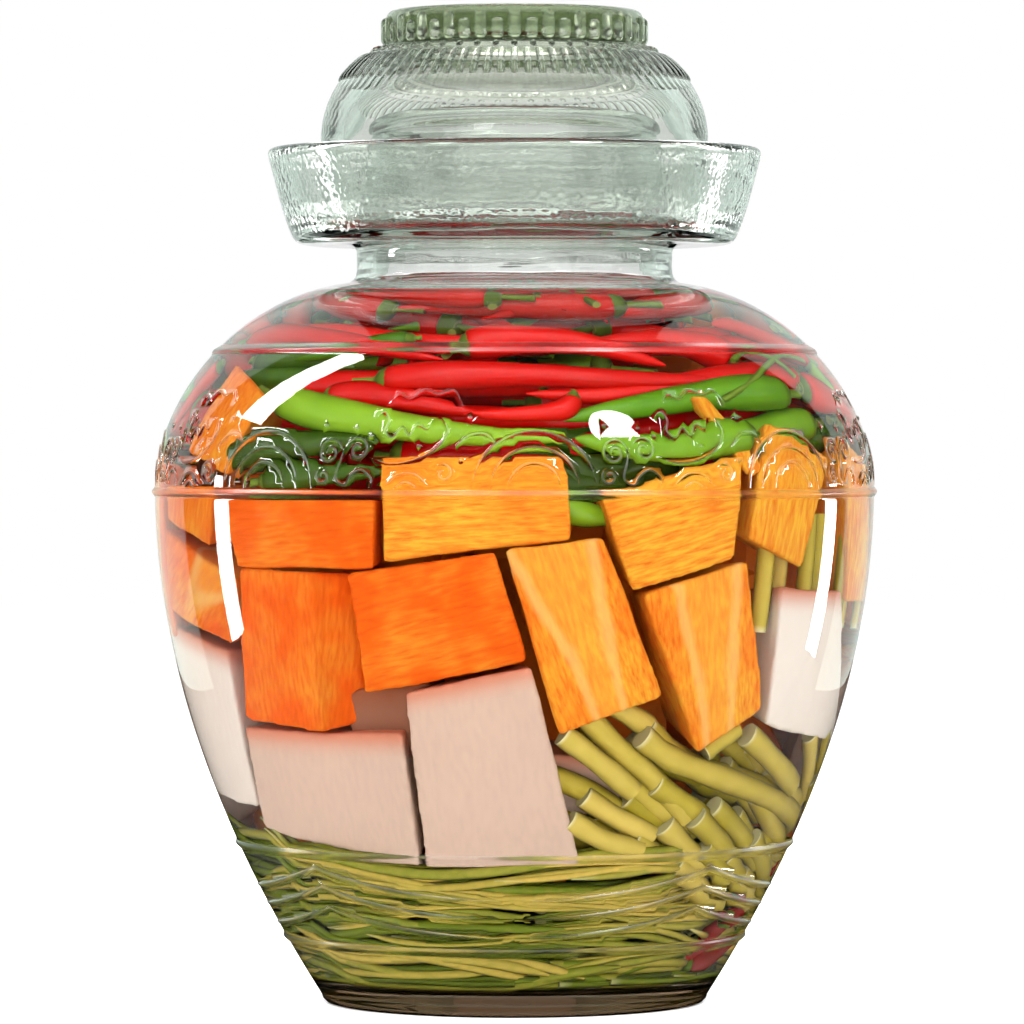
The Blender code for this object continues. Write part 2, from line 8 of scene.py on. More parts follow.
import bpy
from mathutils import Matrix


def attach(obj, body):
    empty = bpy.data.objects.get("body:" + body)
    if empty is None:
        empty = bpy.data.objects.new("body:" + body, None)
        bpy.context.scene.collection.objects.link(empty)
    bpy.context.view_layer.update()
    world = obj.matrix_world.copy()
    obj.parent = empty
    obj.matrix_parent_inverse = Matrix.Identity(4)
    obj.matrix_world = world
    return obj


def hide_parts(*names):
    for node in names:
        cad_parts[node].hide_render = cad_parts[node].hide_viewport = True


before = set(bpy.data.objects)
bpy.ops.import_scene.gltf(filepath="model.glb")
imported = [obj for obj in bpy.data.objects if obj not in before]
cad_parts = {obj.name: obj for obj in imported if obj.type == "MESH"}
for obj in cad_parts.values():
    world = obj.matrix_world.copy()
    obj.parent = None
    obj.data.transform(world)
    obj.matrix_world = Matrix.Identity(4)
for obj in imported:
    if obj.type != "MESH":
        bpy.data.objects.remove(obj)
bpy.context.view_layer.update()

# %% The other modules, and the unit
from math import asin, atan2, cos, hypot, pi, radians, sin
from random import Random

import bmesh
import bpy
import numpy as np
from mathutils import Vector, noise

MM = 0.001

# %% [markdown]
# ## The camera
# The photograph was taken from far off with a long lens, a little above the middle of the jar, so the
# jar shows almost no perspective. A long lens at 1.83 m gives the same picture.

# %% Set up the camera
lens = bpy.data.cameras.new("long_lens")
lens.lens = 218
camera = bpy.data.objects.new("camera", lens)
camera.location = (-0.74 * MM, -1.83, 0.170)
camera.rotation_euler = (radians(90 - 0.805), 0, 0)
bpy.context.scene.collection.objects.link(camera)
bpy.context.scene.camera = camera
print("camera", tuple(camera.location))

# %% [markdown]
# ## Studio light
# Clear glass has no colour of its own to show, so it is lit by what it bends and mirrors. A white
# room lights the vegetables through the glass. The room is hidden from mirror reflections, which would
# lay a white veil over the vegetables, and soft boxes take its place there as crisp highlights. Large
# fills in front, above and at the sides do the opposite: they mirror in nothing, and light only what
# is seen through the glass. Two dark cards beside the jar darken the rims of the glass, where it bends
# the view sideways.

# %% A helper that turns an sRGB hex colour to linear
def paint(code):
    """The linear RGBA of a colour such as #E9D3C4."""
    parts = [int(code[i : i + 2], 16) / 255 for i in (1, 3, 5)]
    linear = [p / 12.92 if p <= 0.04045 else ((p + 0.055) / 1.055) ** 2.4 for p in parts]
    return (*linear, 1.0)

# %% A helper that adds a node with its settings and links
def add(tree, kind, inputs=None, **settings):
    """Adds a node. Each input is given a value, a socket, or a node whose first live output is linked."""
    made = tree.nodes.new(kind)
    for name, value in settings.items():
        setattr(made, name, value)
    for name, value in (inputs or {}).items():
        if isinstance(value, bpy.types.Node):
            value = next(socket for socket in value.outputs if socket.enabled)
        if isinstance(value, bpy.types.NodeSocket):
            tree.links.new(value, made.inputs[name])
        else:
            made.inputs[name].default_value = value
    return made

# %% A helper that starts a material
def new_finish(name):
    """A material, its node tree and its main shader."""
    finish = bpy.data.materials.new(name)
    finish.use_nodes = True
    return finish, finish.node_tree, finish.node_tree.nodes["Principled BSDF"]

# %% The white room
room = bpy.data.worlds.new("white_room")
room.use_nodes = True
room.node_tree.nodes["Background"].inputs["Color"].default_value = (1, 1, 1, 1)
room.node_tree.nodes["Background"].inputs["Strength"].default_value = 1.0
room.cycles_visibility.glossy = False
bpy.context.scene.world = room
bpy.context.scene.view_settings.view_transform = "Standard"
bpy.context.scene.cycles.max_bounces = 32
bpy.context.scene.cycles.transmission_bounces = 28
bpy.context.scene.cycles.glossy_bounces = 8
bpy.context.scene.cycles.diffuse_bounces = 3
bpy.context.scene.cycles.sample_clamp_indirect = 6
print("room strength 1.0")

# %% The soft boxes
def soft_box(name, at, towards, size, glow, through=False):
    """An area light that shows only as a highlight, or, with through, lights only what the glass holds."""
    light = bpy.data.lights.new(name, "AREA")
    light.shape = "RECTANGLE"
    light.size, light.size_y = size
    light.energy = glow * pi * size[0] * size[1]
    box = bpy.data.objects.new(name, light)
    box.location = at
    box.rotation_euler = (Vector(at) - Vector(towards)).to_track_quat("Z", "Y").to_euler()
    box.visible_camera = False
    box.visible_transmission = through
    box.visible_glossy = not through
    bpy.context.scene.collection.objects.link(box)
    return box

soft_box("left_strip_high", (-0.482, 0.055, 0.675), (0, 0, 0.675), (0.1, 0.57), 22)
soft_box("left_strip_low", (-0.482, 0.055, 0.1), (0, 0, 0.1), (0.062, 0.2), 18)
soft_box("right_strip", (0.453, 0.16, 0.085), (0, 0, 0.085), (0.06, 0.17), 16)
soft_box("right_back_strip", (0.381, 0.272, 0.1), (0, 0, 0.1), (0.03, 0.2), 12)
soft_box("behind", (0, 1.6, 0.61), (0, 0, 0.61), (2.6, 1.2), 0.9)
soft_box("overhead", (0, 1.0, 1.0), (0, 0, 0.2), (1.8, 0.6), 8)
soft_box("front_fill", (0, -2.4, 1.1), (0, 0, 0.14), (4.6, 2.2), 2.7, through=True)
soft_box("top_fill", (0, -1.1, 1.9), (0, 0, 0.2), (2.0, 1.2), 4, through=True)
soft_box("sparkle", (-0.5, -1.3, 1.2), (0, 0, 0.15), (0.3, 0.3), 32, through=True)
for side in (-1, 1):
    soft_box(f"side_fill_{side}", (side * 1.9, -0.7, 0.5), (0, 0, 0.12), (1.6, 1.4), 1.9, through=True)
lamp = soft_box("round_lamp", (0.455, -0.655, 0.733), (0.03, -0.1, 0.169), (0.24, 0.34), 22)
lamp.data.shape = "ELLIPSE"

# %% The pale floor and the dark cards
def flat_card(name, corners, colour, glow):
    """A plain card that isn't part of the object."""
    mesh = bpy.data.meshes.new(name)
    mesh.from_pydata(corners, [], [(0, 1, 2, 3)])
    matt, _, shader = new_finish(name)
    shader.inputs["Base Color"].default_value = paint(colour)
    shader.inputs["Roughness"].default_value = 0.9
    shader.inputs["Specular IOR Level"].default_value = 0
    shader.inputs["Emission Color"].default_value = paint(colour)
    shader.inputs["Emission Strength"].default_value = glow
    mesh.materials.append(matt)
    made = bpy.data.objects.new(name, mesh)
    bpy.context.scene.collection.objects.link(made)
    return made

floor = flat_card("floor", [(-4, -4, 0), (4, -4, 0), (4, 4, 0), (-4, 4, 0)], "#FFFFFF", 0)
floor.visible_glossy = False
for side in (-1, 1):
    x = side * 0.31
    card = flat_card(
        "dark_card_right" if side > 0 else "dark_card_left",
        [(x, 0.14, 0.02), (x, 1.6, 0.02), (x, 1.6, 0.8), (x, 0.14, 0.8)],
        "#8E9893",
        0.35,
    )
    card.visible_camera = False
    card.visible_diffuse = False
    card.visible_shadow = False
print("floor and cards are stage")

# %% [markdown]
# ## The wall of the jar
# Every vegetable leans on the glass, so the wall's curve is the rule that the rest follows. Below the
# belly it swells from the foot as a power curve, and above it turns in as part of a squared ellipse.

# %% The wall as a radius for each height
BELLY, BELLY_HEIGHT, FOOT, HEEL = 106 * MM, 152 * MM, 57 * MM, 2.5 * MM
SHOULDER_CENTRE, SHOULDER_RISE = 44 * MM, 60 * MM
WALL, FLOOR, BRINE_LEVEL = 3.6 * MM, 8 * MM, 207 * MM

def wall_radius(height):
    """Radius of the plain outer wall at a height up to the shoulder's top."""
    if height <= BELLY_HEIGHT:
        share = max(height - HEEL, 0) / (BELLY_HEIGHT - HEEL)
        return BELLY - (BELLY - FOOT) * (1 - share) ** 1.95
    turn = asin(min(((height - BELLY_HEIGHT) / SHOULDER_RISE) ** 0.9, 1))
    return SHOULDER_CENTRE + (BELLY - SHOULDER_CENTRE) * max(cos(turn), 0) ** (2 / 1.9)

def wall_slope(height):
    """The unit direction (radius, height) up the wall."""
    low, high = max(height - 0.4 * MM, HEEL), min(height + 0.4 * MM, 211.6 * MM)
    dr, dz = wall_radius(high) - wall_radius(low), high - low
    return dr / hypot(dr, dz), dz / hypot(dr, dz)

def on_wall(angle, height, depth=0.0):
    """A point at a depth inside the outer wall. The angle runs from the front to the right, in degrees."""
    dr, dz = wall_slope(height)
    radius, height = wall_radius(height) - dz * depth, height + dr * depth
    turn = radians(angle)
    return Vector((radius * sin(turn), -radius * cos(turn), height))

def in_jar(angle, height, depth):
    """A point at a depth inside the inner wall, with the height and depth in millimetres."""
    return on_wall(angle, height * MM, WALL + depth * MM + 0.5 * MM)

print("belly", round(wall_radius(BELLY_HEIGHT) / MM, 1), "at 200 mm", round(wall_radius(0.2) / MM, 1))

# %% [markdown]
# ## Turned shapes
# The jar, the lid and the brine are round about one axis, so each is an outline turned about Z. Mesh
# code does this better than a modifier here, because the outline can be fine where a belt or a lip is
# and coarse elsewhere, and the faces come out pointing outwards.

# %% A helper that turns an outline
def turned(name, outline, segments):
    """A smooth closed mesh from (radius, height) points that run from the axis, out, up and back."""
    points, rows = [], []
    for radius, height in outline:
        count = segments if radius > 0.01 * MM else 1
        rows.append([len(points) + k % count for k in range(segments)])
        for k in range(count):
            turn = 2 * pi * k / segments
            points.append((radius * sin(turn), -radius * cos(turn), height))
    faces = []
    for low, high in zip(rows, rows[1:]):
        for k in range(segments):
            n = (k + 1) % segments
            corners = list(dict.fromkeys((low[k], low[n], high[n], high[k])))
            if len(corners) > 2:
                faces.append(corners)
    mesh = bpy.data.meshes.new(name)
    mesh.from_pydata(points, [], faces)
    mesh.shade_smooth()
    return mesh

def eased(points, steps):
    """A smooth line through points of any size, with steps between each two of them."""
    ends = [points[0], *points, points[-1]]
    made = []
    for k in range(len(points) - 1):
        a, b, c, d = ends[k : k + 4]
        for i in range(steps):
            t = i / steps
            made.append(tuple(
                0.5 * (2 * q + (r - p) * t + (2 * p - 5 * q + 4 * r - s) * t * t + (3 * q - p - 3 * r + s) * t ** 3)
                for p, q, r, s in zip(a, b, c, d)
            ))
    return made + [tuple(points[-1])]

def in_mm(*points):
    return [(r * MM, z * MM) for r, z in points]

# %% A helper that puts a mesh in the scene as a piece
def piece(name, mesh, body, slot, *finishes, instead_of=()):
    """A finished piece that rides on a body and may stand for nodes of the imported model."""
    made = bpy.data.objects.new(name, mesh)
    bpy.context.scene.collection.objects.link(made)
    if finishes:
        mesh.materials.clear()
        for finish in finishes:
            mesh.materials.append(finish)
    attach(made, body)
    if instead_of:
        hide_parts(*instead_of)
    return made

# %% [markdown]
# ## Pressed glass
# Soda-lime glass has an index of refraction of about 1.5. Iron in the sand tints it green, so the
# colour comes from its thickness: the light is absorbed inside, which a Volume Absorption node does and
# a plain colour can't. A slight ripple from the mould bends the view, more so in the neck and the lid.
# The rest follows marks that are stored on the points of the mesh later: the hammered wall of the moat
# is a bump of 1.7 mm lumps, the proud beads are a little rough from the cut mould, so that they catch
# light, and the dish of the lid is frosted. Where brine wets the inside, real glass hardly mirrors at
# all, so the mark for wet glass takes the reflection away there. Two shades by height stand for the
# brown light near the foot and the grey of the thick moat.

# %% Glass
def pressed_glass(name, tint, density, ripple, zones):
    """Clear pressed glass. A ripple is (start, full, low, high), and a zone (start, full, colour), in mm of height."""
    finish, tree, shader = new_finish(name)
    shader.inputs["IOR"].default_value = 1.5
    shader.inputs["Transmission Weight"].default_value = 1.0
    soak = add(tree, "ShaderNodeVolumeAbsorption", {"Color": paint(tint), "Density": density})
    tree.links.new(soak.outputs["Volume"], tree.nodes["Material Output"].inputs["Volume"])
    place = add(tree, "ShaderNodeTexCoord")
    height = add(tree, "ShaderNodeSeparateXYZ", {0: place.outputs["Object"]})
    colour = (1, 1, 1, 1)
    for start, full, shade in zones:
        inside = add(tree, "ShaderNodeMapRange",
            {"Value": height.outputs["Z"], "From Min": start * MM, "From Max": full * MM})
        colour = add(tree, "ShaderNodeMix", {"Factor": inside, "A": colour, "B": paint(shade)},
            data_type="RGBA").outputs["Result"]
    tree.links.new(colour, shader.inputs["Base Color"])
    level = add(tree, "ShaderNodeVectorMath", {0: place.outputs["Object"], 1: (0.12, 0.12, 1.0)},
        operation="MULTIPLY")
    wave = add(tree, "ShaderNodeTexNoise", {"Vector": level, "Scale": 1 / (4 * MM), "Detail": 1.0})
    start, full, low, high = ripple
    strength = add(tree, "ShaderNodeMapRange", {"Value": height.outputs["Z"], "From Min": start * MM,
        "From Max": full * MM, "To Min": low, "To Max": high})
    waves = add(tree, "ShaderNodeBump", {"Strength": strength, "Distance": 1.0 * MM, "Height": wave})
    tree.links.new(waves.outputs[0], shader.inputs["Normal"])
    return finish, tree, shader, place, waves

# %% What the marks on the jar do
def hammer_and_wet(tree, shader, place, waves):
    """Adds the moat's hammered lumps, and takes the reflection away where brine wets the inside."""
    lumps = add(tree, "ShaderNodeTexVoronoi", {"Vector": place.outputs["Object"], "Scale": 1 / (1.7 * MM)},
        feature="SMOOTH_F1")
    hammered = add(tree, "ShaderNodeAttribute", attribute_name="hammered")
    strength = add(tree, "ShaderNodeMath", {0: hammered.outputs["Fac"], 1: 0.3}, operation="MULTIPLY")
    bumps = add(tree, "ShaderNodeBump", {"Strength": strength, "Distance": 0.5 * MM,
        "Height": lumps.outputs["Distance"]})
    tree.links.new(bumps.outputs[0], waves.inputs["Normal"])
    proud = add(tree, "ShaderNodeAttribute", attribute_name="proud")
    haze = add(tree, "ShaderNodeMath", {0: proud.outputs["Fac"], 1: 0.28}, operation="MULTIPLY")
    tree.links.new(haze.outputs[0], shader.inputs["Roughness"])
    wet = add(tree, "ShaderNodeAttribute", attribute_name="wet")
    mirror = add(tree, "ShaderNodeMix", {"Factor": wet.outputs["Fac"], "A": (1, 1, 1, 1), "B": (0, 0, 0, 1)},
        data_type="RGBA")
    tree.links.new(mirror.outputs["Result"], shader.inputs["Specular Tint"])

# %% The glass of the jar and of the lid
jar_glass, *parts = pressed_glass("pressed_soda_lime_jar_glass", "#C7CBC6", 22, (198, 214, 0.03, 0.4),
    [(212, 224, "#DFE3DF"), (9.5, 5, "#A47C60")])
hammer_and_wet(*parts)
lid_glass, tree, shader, place, _ = pressed_glass("pressed_soda_lime_lid_glass", "#C2C6BF", 28,
    (256, 246, 0.04, 0.6), [(220, 221, "#EFF1EE"), (279.5, 281.5, "#CCD6BC")])
frosted = add(tree, "ShaderNodeAttribute", attribute_name="frosted")
haze = add(tree, "ShaderNodeMath", {0: frosted.outputs["Fac"], 1: 0.25}, operation="MULTIPLY")
tree.links.new(haze.outputs[0], shader.inputs["Roughness"])
# Painted shade: the grooves of the ring and the valleys between the ribs mix a dark green into the glass colour.
grooved = add(tree, "ShaderNodeAttribute", attribute_name="grooved")
plain = shader.inputs["Base Color"].links[0].from_socket
groove_shaded = add(tree, "ShaderNodeMix", {"Factor": grooved.outputs["Fac"], "A": plain, "B": paint("#5C6C44")},
    data_type="RGBA")
tree.links.new(groove_shaded.outputs["Result"], shader.inputs["Base Color"])
print("glass", jar_glass.name, lid_glass.name)

# %% [markdown]
# ## The jar
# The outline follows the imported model's: a hollow foot, the wall with its belts, the shoulder, the
# neck, the moat with its rounded lip, and back down the inside. Four raised belts run round it: two
# frame the scrolls on the belly, and two the arches near the foot. The inner wall and floor are lines of
# their own, because the brine follows them too.

# %% The jar's outline
BELTS = (19.5 * MM, 47 * MM, 150.4 * MM, 192 * MM)
BELT_RISE, BELT_HALF = 0.86 * MM, 1.7 * MM

def belt_rise(height):
    near = min(abs(height - belt) for belt in BELTS)
    return BELT_RISE * cos(pi / 2 * near / BELT_HALF) ** 2 if near < BELT_HALF else 0.0

def wall_heights():
    """Heights up the wall, close together at the belts."""
    made = {round(HEEL / MM + k * (205 - HEEL / MM) / 74, 2) for k in range(75)}
    made = {h for h in made if all(abs(h * MM - belt) > 2.2 * MM for belt in BELTS)}
    for belt in BELTS:
        made |= {round(belt / MM + d / 10, 2) for d in range(-20, 21, 4)}
    return [h * MM for h in sorted(made)]

INNER_HEIGHTS = [*np.linspace(11.2, 198, 35), 200.5, 202.8, 204.8, 206.5, 208, 209.3, 210.2]

def inner_wall(thickness):
    """The line up the inside, at a thickness from the outer wall."""
    spots = [on_wall(90, h * MM, thickness) for h in INNER_HEIGHTS]
    return [(spot.x, spot.z) for spot in spots]

def inner_floor(start, level):
    """The rounded corner below the inner wall and the floor, at a level in mm."""
    r = start[0] / MM
    return eased(in_mm((r - 1.0, level + 1.6), (r - 3.5, level + 0.2), (r - 8, level), (24, level), (0, level)), 2)

def jar_outline():
    foot = in_mm((0, 3.5), (22, 3.5), (39, 3.4), (42, 2.2), (44, 0.6), (45.6, 0), (50, 0), (54, 0), (55.6, 0.35),
        (56.6, 1.3))
    wall = [(wall_radius(h) + belt_rise(h), h) for h in wall_heights()]
    crown = [(wall_radius(h), h) for h in [z * MM for z in (206.3, 207.6, 208.8, 209.8, 210.6, 211.1)]]
    root = eased(in_mm((51.4, 211.45), (48.6, 212.0), (47.0, 213.5), (46.5, 215.8), (46.5, 219), (46.8, 221.6),
        (49.2, 223), (54, 223.1)), 3)
    moat = eased(in_mm(
        (58, 223), (61.5, 223), (64.6, 224.1), (66.6, 228), (68.3, 233), (69.95, 238.7), (71.4, 244.5), (72.6, 249),
        (72.3, 250.8), (70.8, 251.5), (69.3, 250.8), (68.4, 248.8), (67.4, 244.5), (65.95, 238.7), (64.2, 233.4),
        (62.0, 229.2), (59.4, 227.2), (54, 227), (50, 227), (47.9, 227.7), (46.6, 229.8),
    ), 3)
    neck = eased(in_mm(
        (46.1, 232), (44.9, 238), (43.4, 247), (42.3, 256), (42.2, 258), (43.2, 258.9), (43.6, 260.2),
        (43.2, 261.7),
        (41.8, 262.5), (39.6, 262.4), (38.3, 261.3), (38.0, 259), (38.6, 252), (40.3, 238), (41.9, 226),
        (42.3, 219),
        (42.7, 214.4), (44.4, 210.6), (48.0, 208.6),
    ), 3)
    inside = inner_wall(WALL)[::-1]
    return foot + wall + crown + root + moat + neck + inside + inner_floor(inside[-1], FLOOR / MM)

outline = jar_outline()
print("jar outline", len(outline), "points, top", round(max(z for _, z in outline) / MM, 1), "mm")

# %% [markdown]
# ## Relief on the glass
# The mould was cut with scrolls, clouds and arches, a common folk pattern of waves, and they stand
# proud of the glass as rounded beads. Each bead follows a path on the wall, and eight equal stretches
# go round the belly, so Geometry Nodes sweep one stretch, turn copies of it about the axis and join
# them to the glass with a boolean. The same tree later gives the lid its ribs, teeth and flutes.

# %% A helper that draws paths for Geometry Nodes
def paths(name, lines):
    """A mesh of open paths. Each line is (points, thicknesses, tone), and along runs from 0 to 1."""
    points, edges, thick, tones, along = [], [], [], [], []
    for line, widths, tone in lines:
        first = len(points)
        points += [tuple(p) for p in line]
        edges += [(first + k, first + k + 1) for k in range(len(line) - 1)]
        thick += list(widths)
        tones += [tone] * len(line)
        along += [k / (len(line) - 1) for k in range(len(line))]
    mesh = bpy.data.meshes.new(name)
    mesh.from_pydata(points, edges, [])
    for label, values in (("thickness", thick), ("tone", tones), ("along", along)):
        mesh.attributes.new(label, "FLOAT", "POINT").data.foreach_set("value", values)
    return mesh

# %% A helper that runs a Geometry Nodes tree and keeps its result as a plain mesh
def grown(mesh, tree, **values):
    """The mesh that the tree makes from a mesh. Spaces in an input's name are written as _."""
    host = bpy.data.objects.new(mesh.name, mesh)
    bpy.context.scene.collection.objects.link(host)
    modifier = host.modifiers.new(tree.name, "NODES")
    modifier.node_group = tree
    for item in tree.interface.items_tree:
        value = values.get(item.name.replace(" ", "_"))
        if item.in_out == "INPUT" and value is not None:
            modifier[item.identifier] = value
    graph = bpy.context.evaluated_depsgraph_get()
    made = bpy.data.meshes.new_from_object(host.evaluated_get(graph), depsgraph=graph)
    made.name = mesh.name
    host.modifiers.clear()
    bpy.data.objects.remove(host)
    return made

def new_tree(name, *inputs):
    """An empty Geometry Nodes tree with named inputs, its input node and its output node."""
    tree = bpy.data.node_groups.new(name, "GeometryNodeTree")
    tree.interface.new_socket("Paths", in_out="INPUT", socket_type="NodeSocketGeometry")
    for label, kind in inputs:
        tree.interface.new_socket(label, in_out="INPUT", socket_type=kind)
    tree.interface.new_socket("Geometry", in_out="OUTPUT", socket_type="NodeSocketGeometry")
    return tree, tree.nodes.new("NodeGroupInput"), tree.nodes.new("NodeGroupOutput")

# %% The tree that sweeps beads and joins them to glass
relief, given, result = new_tree(
    "relief on glass", ("Glass", "NodeSocketObject"), ("Repeats", "NodeSocketInt"), ("Finish", "NodeSocketMaterial")
)
curve = add(relief, "GeometryNodeMeshToCurve", {"Mesh": given.outputs["Paths"]})
round_bead = add(relief, "GeometryNodeCurvePrimitiveCircle", {"Resolution": 9, "Radius": 1.0})
width = add(relief, "GeometryNodeInputNamedAttribute", {"Name": "thickness"}, data_type="FLOAT")
bead = add(relief, "GeometryNodeCurveToMesh", {
    "Curve": curve, "Profile Curve": round_bead, "Scale": width, "Fill Caps": True,
})
island = add(relief, "GeometryNodeInputMeshIsland")
apart = add(relief, "GeometryNodeSplitToInstances", {"Geometry": bead, "Group ID": island}, domain="FACE")
spots = add(relief, "GeometryNodePoints", {"Count": given.outputs["Repeats"]})
number = add(relief, "GeometryNodeInputIndex")
share = add(relief, "ShaderNodeMath", {0: number, 1: given.outputs["Repeats"]}, operation="DIVIDE")
turn = add(relief, "ShaderNodeMath", {0: share, 1: 2 * pi}, operation="MULTIPLY")
about_z = add(relief, "ShaderNodeCombineXYZ", {"Z": turn})
copies = add(relief, "GeometryNodeInstanceOnPoints", {"Points": spots, "Instance": apart, "Rotation": about_z})
beads = add(relief, "GeometryNodeRealizeInstances", {"Geometry": copies})
glass_in = add(relief, "GeometryNodeObjectInfo", {"Object": given.outputs["Glass"]})
joined = add(relief, "GeometryNodeMeshBoolean", operation="UNION", solver="MANIFOLD")
relief.links.new(beads.outputs[0], joined.inputs["Mesh 2"])
relief.links.new(glass_in.outputs["Geometry"], joined.inputs["Mesh 2"])
smooth = add(relief, "GeometryNodeSetShadeSmooth", {"Geometry": joined})
dressed = add(relief, "GeometryNodeSetMaterial", {"Geometry": smooth, "Material": given.outputs["Finish"]})
relief.links.new(dressed.outputs[0], result.inputs[0])
print("relief tree", len(relief.nodes), "nodes")

# %% The scroll band round the belly
BEAD = 0.52 * MM
SUNK = 0.12 * MM

def spiral(eye, radius, turns, start, way=1):
    """Points of a scroll that winds in to its eye."""
    made = []
    for k in range(int(turns * 16) + 1):
        share = k / (turns * 16)
        angle = start + way * 2 * pi * k / 16
        reach = radius * (1 - 0.86 * share)
        made.append((eye[0] + reach * cos(angle), eye[1] + reach * sin(angle)))
    return made

def tapered(points, width, taper=0.3):
    """The points with thicknesses that fall away at both ends."""
    last = len(points) - 1
    return [width * (taper + (1 - taper) * min(1, 5 * k / last, 5 * (last - k) / last)) for k in range(last + 1)]

def arch(width, height):
    return [(-width * cos(pi * k / 20), 0.6 + height * sin(pi * k / 20)) for k in range(21)]

scrolls = [
    arch(17.4, 16.0), arch(12.4, 11.6), arch(7.4, 7.2),
    spiral((22.9, 10.6), 4.3, 1.7, -0.5, 1), spiral((31.9, 11.4), 3.9, 1.6, 3.4, -1),
    spiral((21.2, 3.9), 2.5, 1.4, 1.6, 1),
    eased([(27.3, 12.2), (26.6, 8.2), (25.4, 3.4), (28.3, 1.6), (30.2, 4.2), (33.4, 5.8), (36.6, 3.2), (36.0, 0.8)],
    4),
    eased([(36.6, 9.0), (42, 7.6), (49, 8.6), (55.2, 11.6), (58.4, 16.4), (56.6, 20.2)], 5),
    eased([(36.2, 20.4), (38.6, 22.0), (40.4, 19.6), (39.6, 16.6), (42.2, 14.8), (44.8, 17.6), (47.2, 15.4),
    (49.2, 18.4), (52.4, 17.4), (53.8, 20.4)], 4),
    eased([(40.2, 24.6), (42.2, 27.0), (46.0, 25.8), (50.0, 28.2), (54.6, 27.0), (59.4, 28.0), (62.0, 24.0)], 5),
    eased([(60.8, 12.2), (64.6, 15.4), (69.4, 15.8), (72.4, 13.2)], 5),
    eased([(40.4, 1.2), (44.4, 4.4), (49.4, 4.6), (53.2, 1.4)], 5),
    eased([(43.4, 0.6), (46.8, 2.4), (50.2, 0.8)], 4),
    spiral((57.6, 4.8), 3.0, 1.3, 2.6, -1),
]
pearls = [(35.4, 15.2), (30.6, 17.4), (50.2, 12.4), (64.8, 20.4), (20.4, 18.2), (62.6, 8.4)]

def on_band(u, v, sunk):
    """A point of the band: u runs round the belly and v up from the belt, in mm."""
    return on_wall(3 + u / 1.85, (151.6 + v) * MM, sunk)

band = []
for flat in scrolls:
    line = [on_band(u, v, SUNK) for u, v in flat]
    band.append((line, tapered(line, BEAD), 0.0))
for u, v in pearls:
    line = [on_band(u + aside, v, 0.5 * MM) for aside in (-0.9, -0.6, 0, 0.6, 0.9)]
    band.append((line, [0.25 * MM, 0.8 * MM, 1.0 * MM, 0.8 * MM, 0.25 * MM], 0.0))
print("one stretch of the band", len(band), "beads,", sum(len(b[0]) for b in band), "points")

# %% The arches near the foot
def foot_arch(apex, spring):
    """One arch of the low band, 89 degrees wide. It hangs low at the front and rises to a peak at its middle."""
    flat = [(a, spring + (apex - spring) * (1 - abs(a - 44.5) / 44.5) ** 2.3) for a in np.linspace(0, 89, 49)]
    line = [on_wall(angle, height * MM, 0.2 * MM) for angle, height in flat]
    return line, tapered(line, 1.0 * MM, 0.25), 0.0

arches = [foot_arch(43, 35), foot_arch(37.4, 29.6), foot_arch(31.4, 24)]
print("arches", len(arches))

# %% Turn the jar and join its relief
blank = bpy.data.objects.new("jar_blank", turned("jar_blank", outline, 216))
bpy.context.scene.collection.objects.link(blank)
jar_mesh = grown(paths("jar_scrolls", band), relief, Glass=blank, Repeats=8, Finish=jar_glass)
blank.data = jar_mesh
jar_mesh = grown(paths("jar", arches), relief, Glass=blank, Repeats=4, Finish=jar_glass)
bpy.data.objects.remove(blank)
print("jar", len(jar_mesh.vertices), "points", sum(len(p.vertices) - 2 for p in jar_mesh.polygons), "triangles")

# %% Mark the wet and the hammered glass
def mark(mesh, label, test):
    """Stores 1 or 0 on each point of a mesh, by a test of its radius and height."""
    spots = np.empty(len(mesh.vertices) * 3)
    mesh.vertices.foreach_get("co", spots)
    spots = spots.reshape(-1, 3)
    values = [float(test(hypot(x, y), z)) for x, y, z in spots]
    mesh.attributes.new(label, "FLOAT", "POINT").data.foreach_set("value", values)
    return sum(values)

def is_wet(radius, height):
    return 7 * MM < height < BRINE_LEVEL and radius < wall_radius(height) - 2 * MM

def is_hammered(radius, height):
    edge = np.interp(height, [z * MM for z in (226, 233, 238.7, 244.5, 248)],
        [r * MM for r in (64.6, 67, 68.6, 70, 71)])
    return 226 * MM < height < 248 * MM and radius > edge

print("hammered points", mark(jar_mesh, "hammered", is_hammered))
print("wet points", mark(jar_mesh, "wet", lambda radius,
    height: is_wet(radius, height) or 0.7 * is_hammered(radius, height)))
print("proud points", mark(jar_mesh, "proud", lambda radius,
    height: height < 205 * MM and radius > wall_radius(height) + 0.12 * MM))
piece("jar", jar_mesh, "crock", "jar_glass", instead_of=("jar_bowl", "jar_shoulder", "jar_neck", "moat_floor",
    "moat_wall"))

# %% [markdown]
# ## The lid
# The lid is a bell with a plain skirt, a dome ribbed near its top, and a thick fluted ring that serves
# as a grip, with a dish in it. The ribs and flutes are short beads with round ends, so the same tree
# makes them: 80 ribs and 48 small teeth round the dome, and 24 pairs of a tall and a short flute round
# the ring. The grooves between them get painted shade, a dark green mixed into the glass colour, where deep grooves in
# thick glass look dark.

# %% The lid's outline
RING_R, DOME_R, BULGE, DOME_RISE = 30, 27.1, 253.8, 29  # the dome's arc starts 30 mm out, at its widest height

def dome_arc(turn, sunk=0.0):
    """Radius and height in mm on the dome's arc, at a turn up from its widest place, sunk into the glass."""
    return RING_R + (DOME_R - sunk) * cos(turn), BULGE + (DOME_RISE - sunk) * sin(turn)

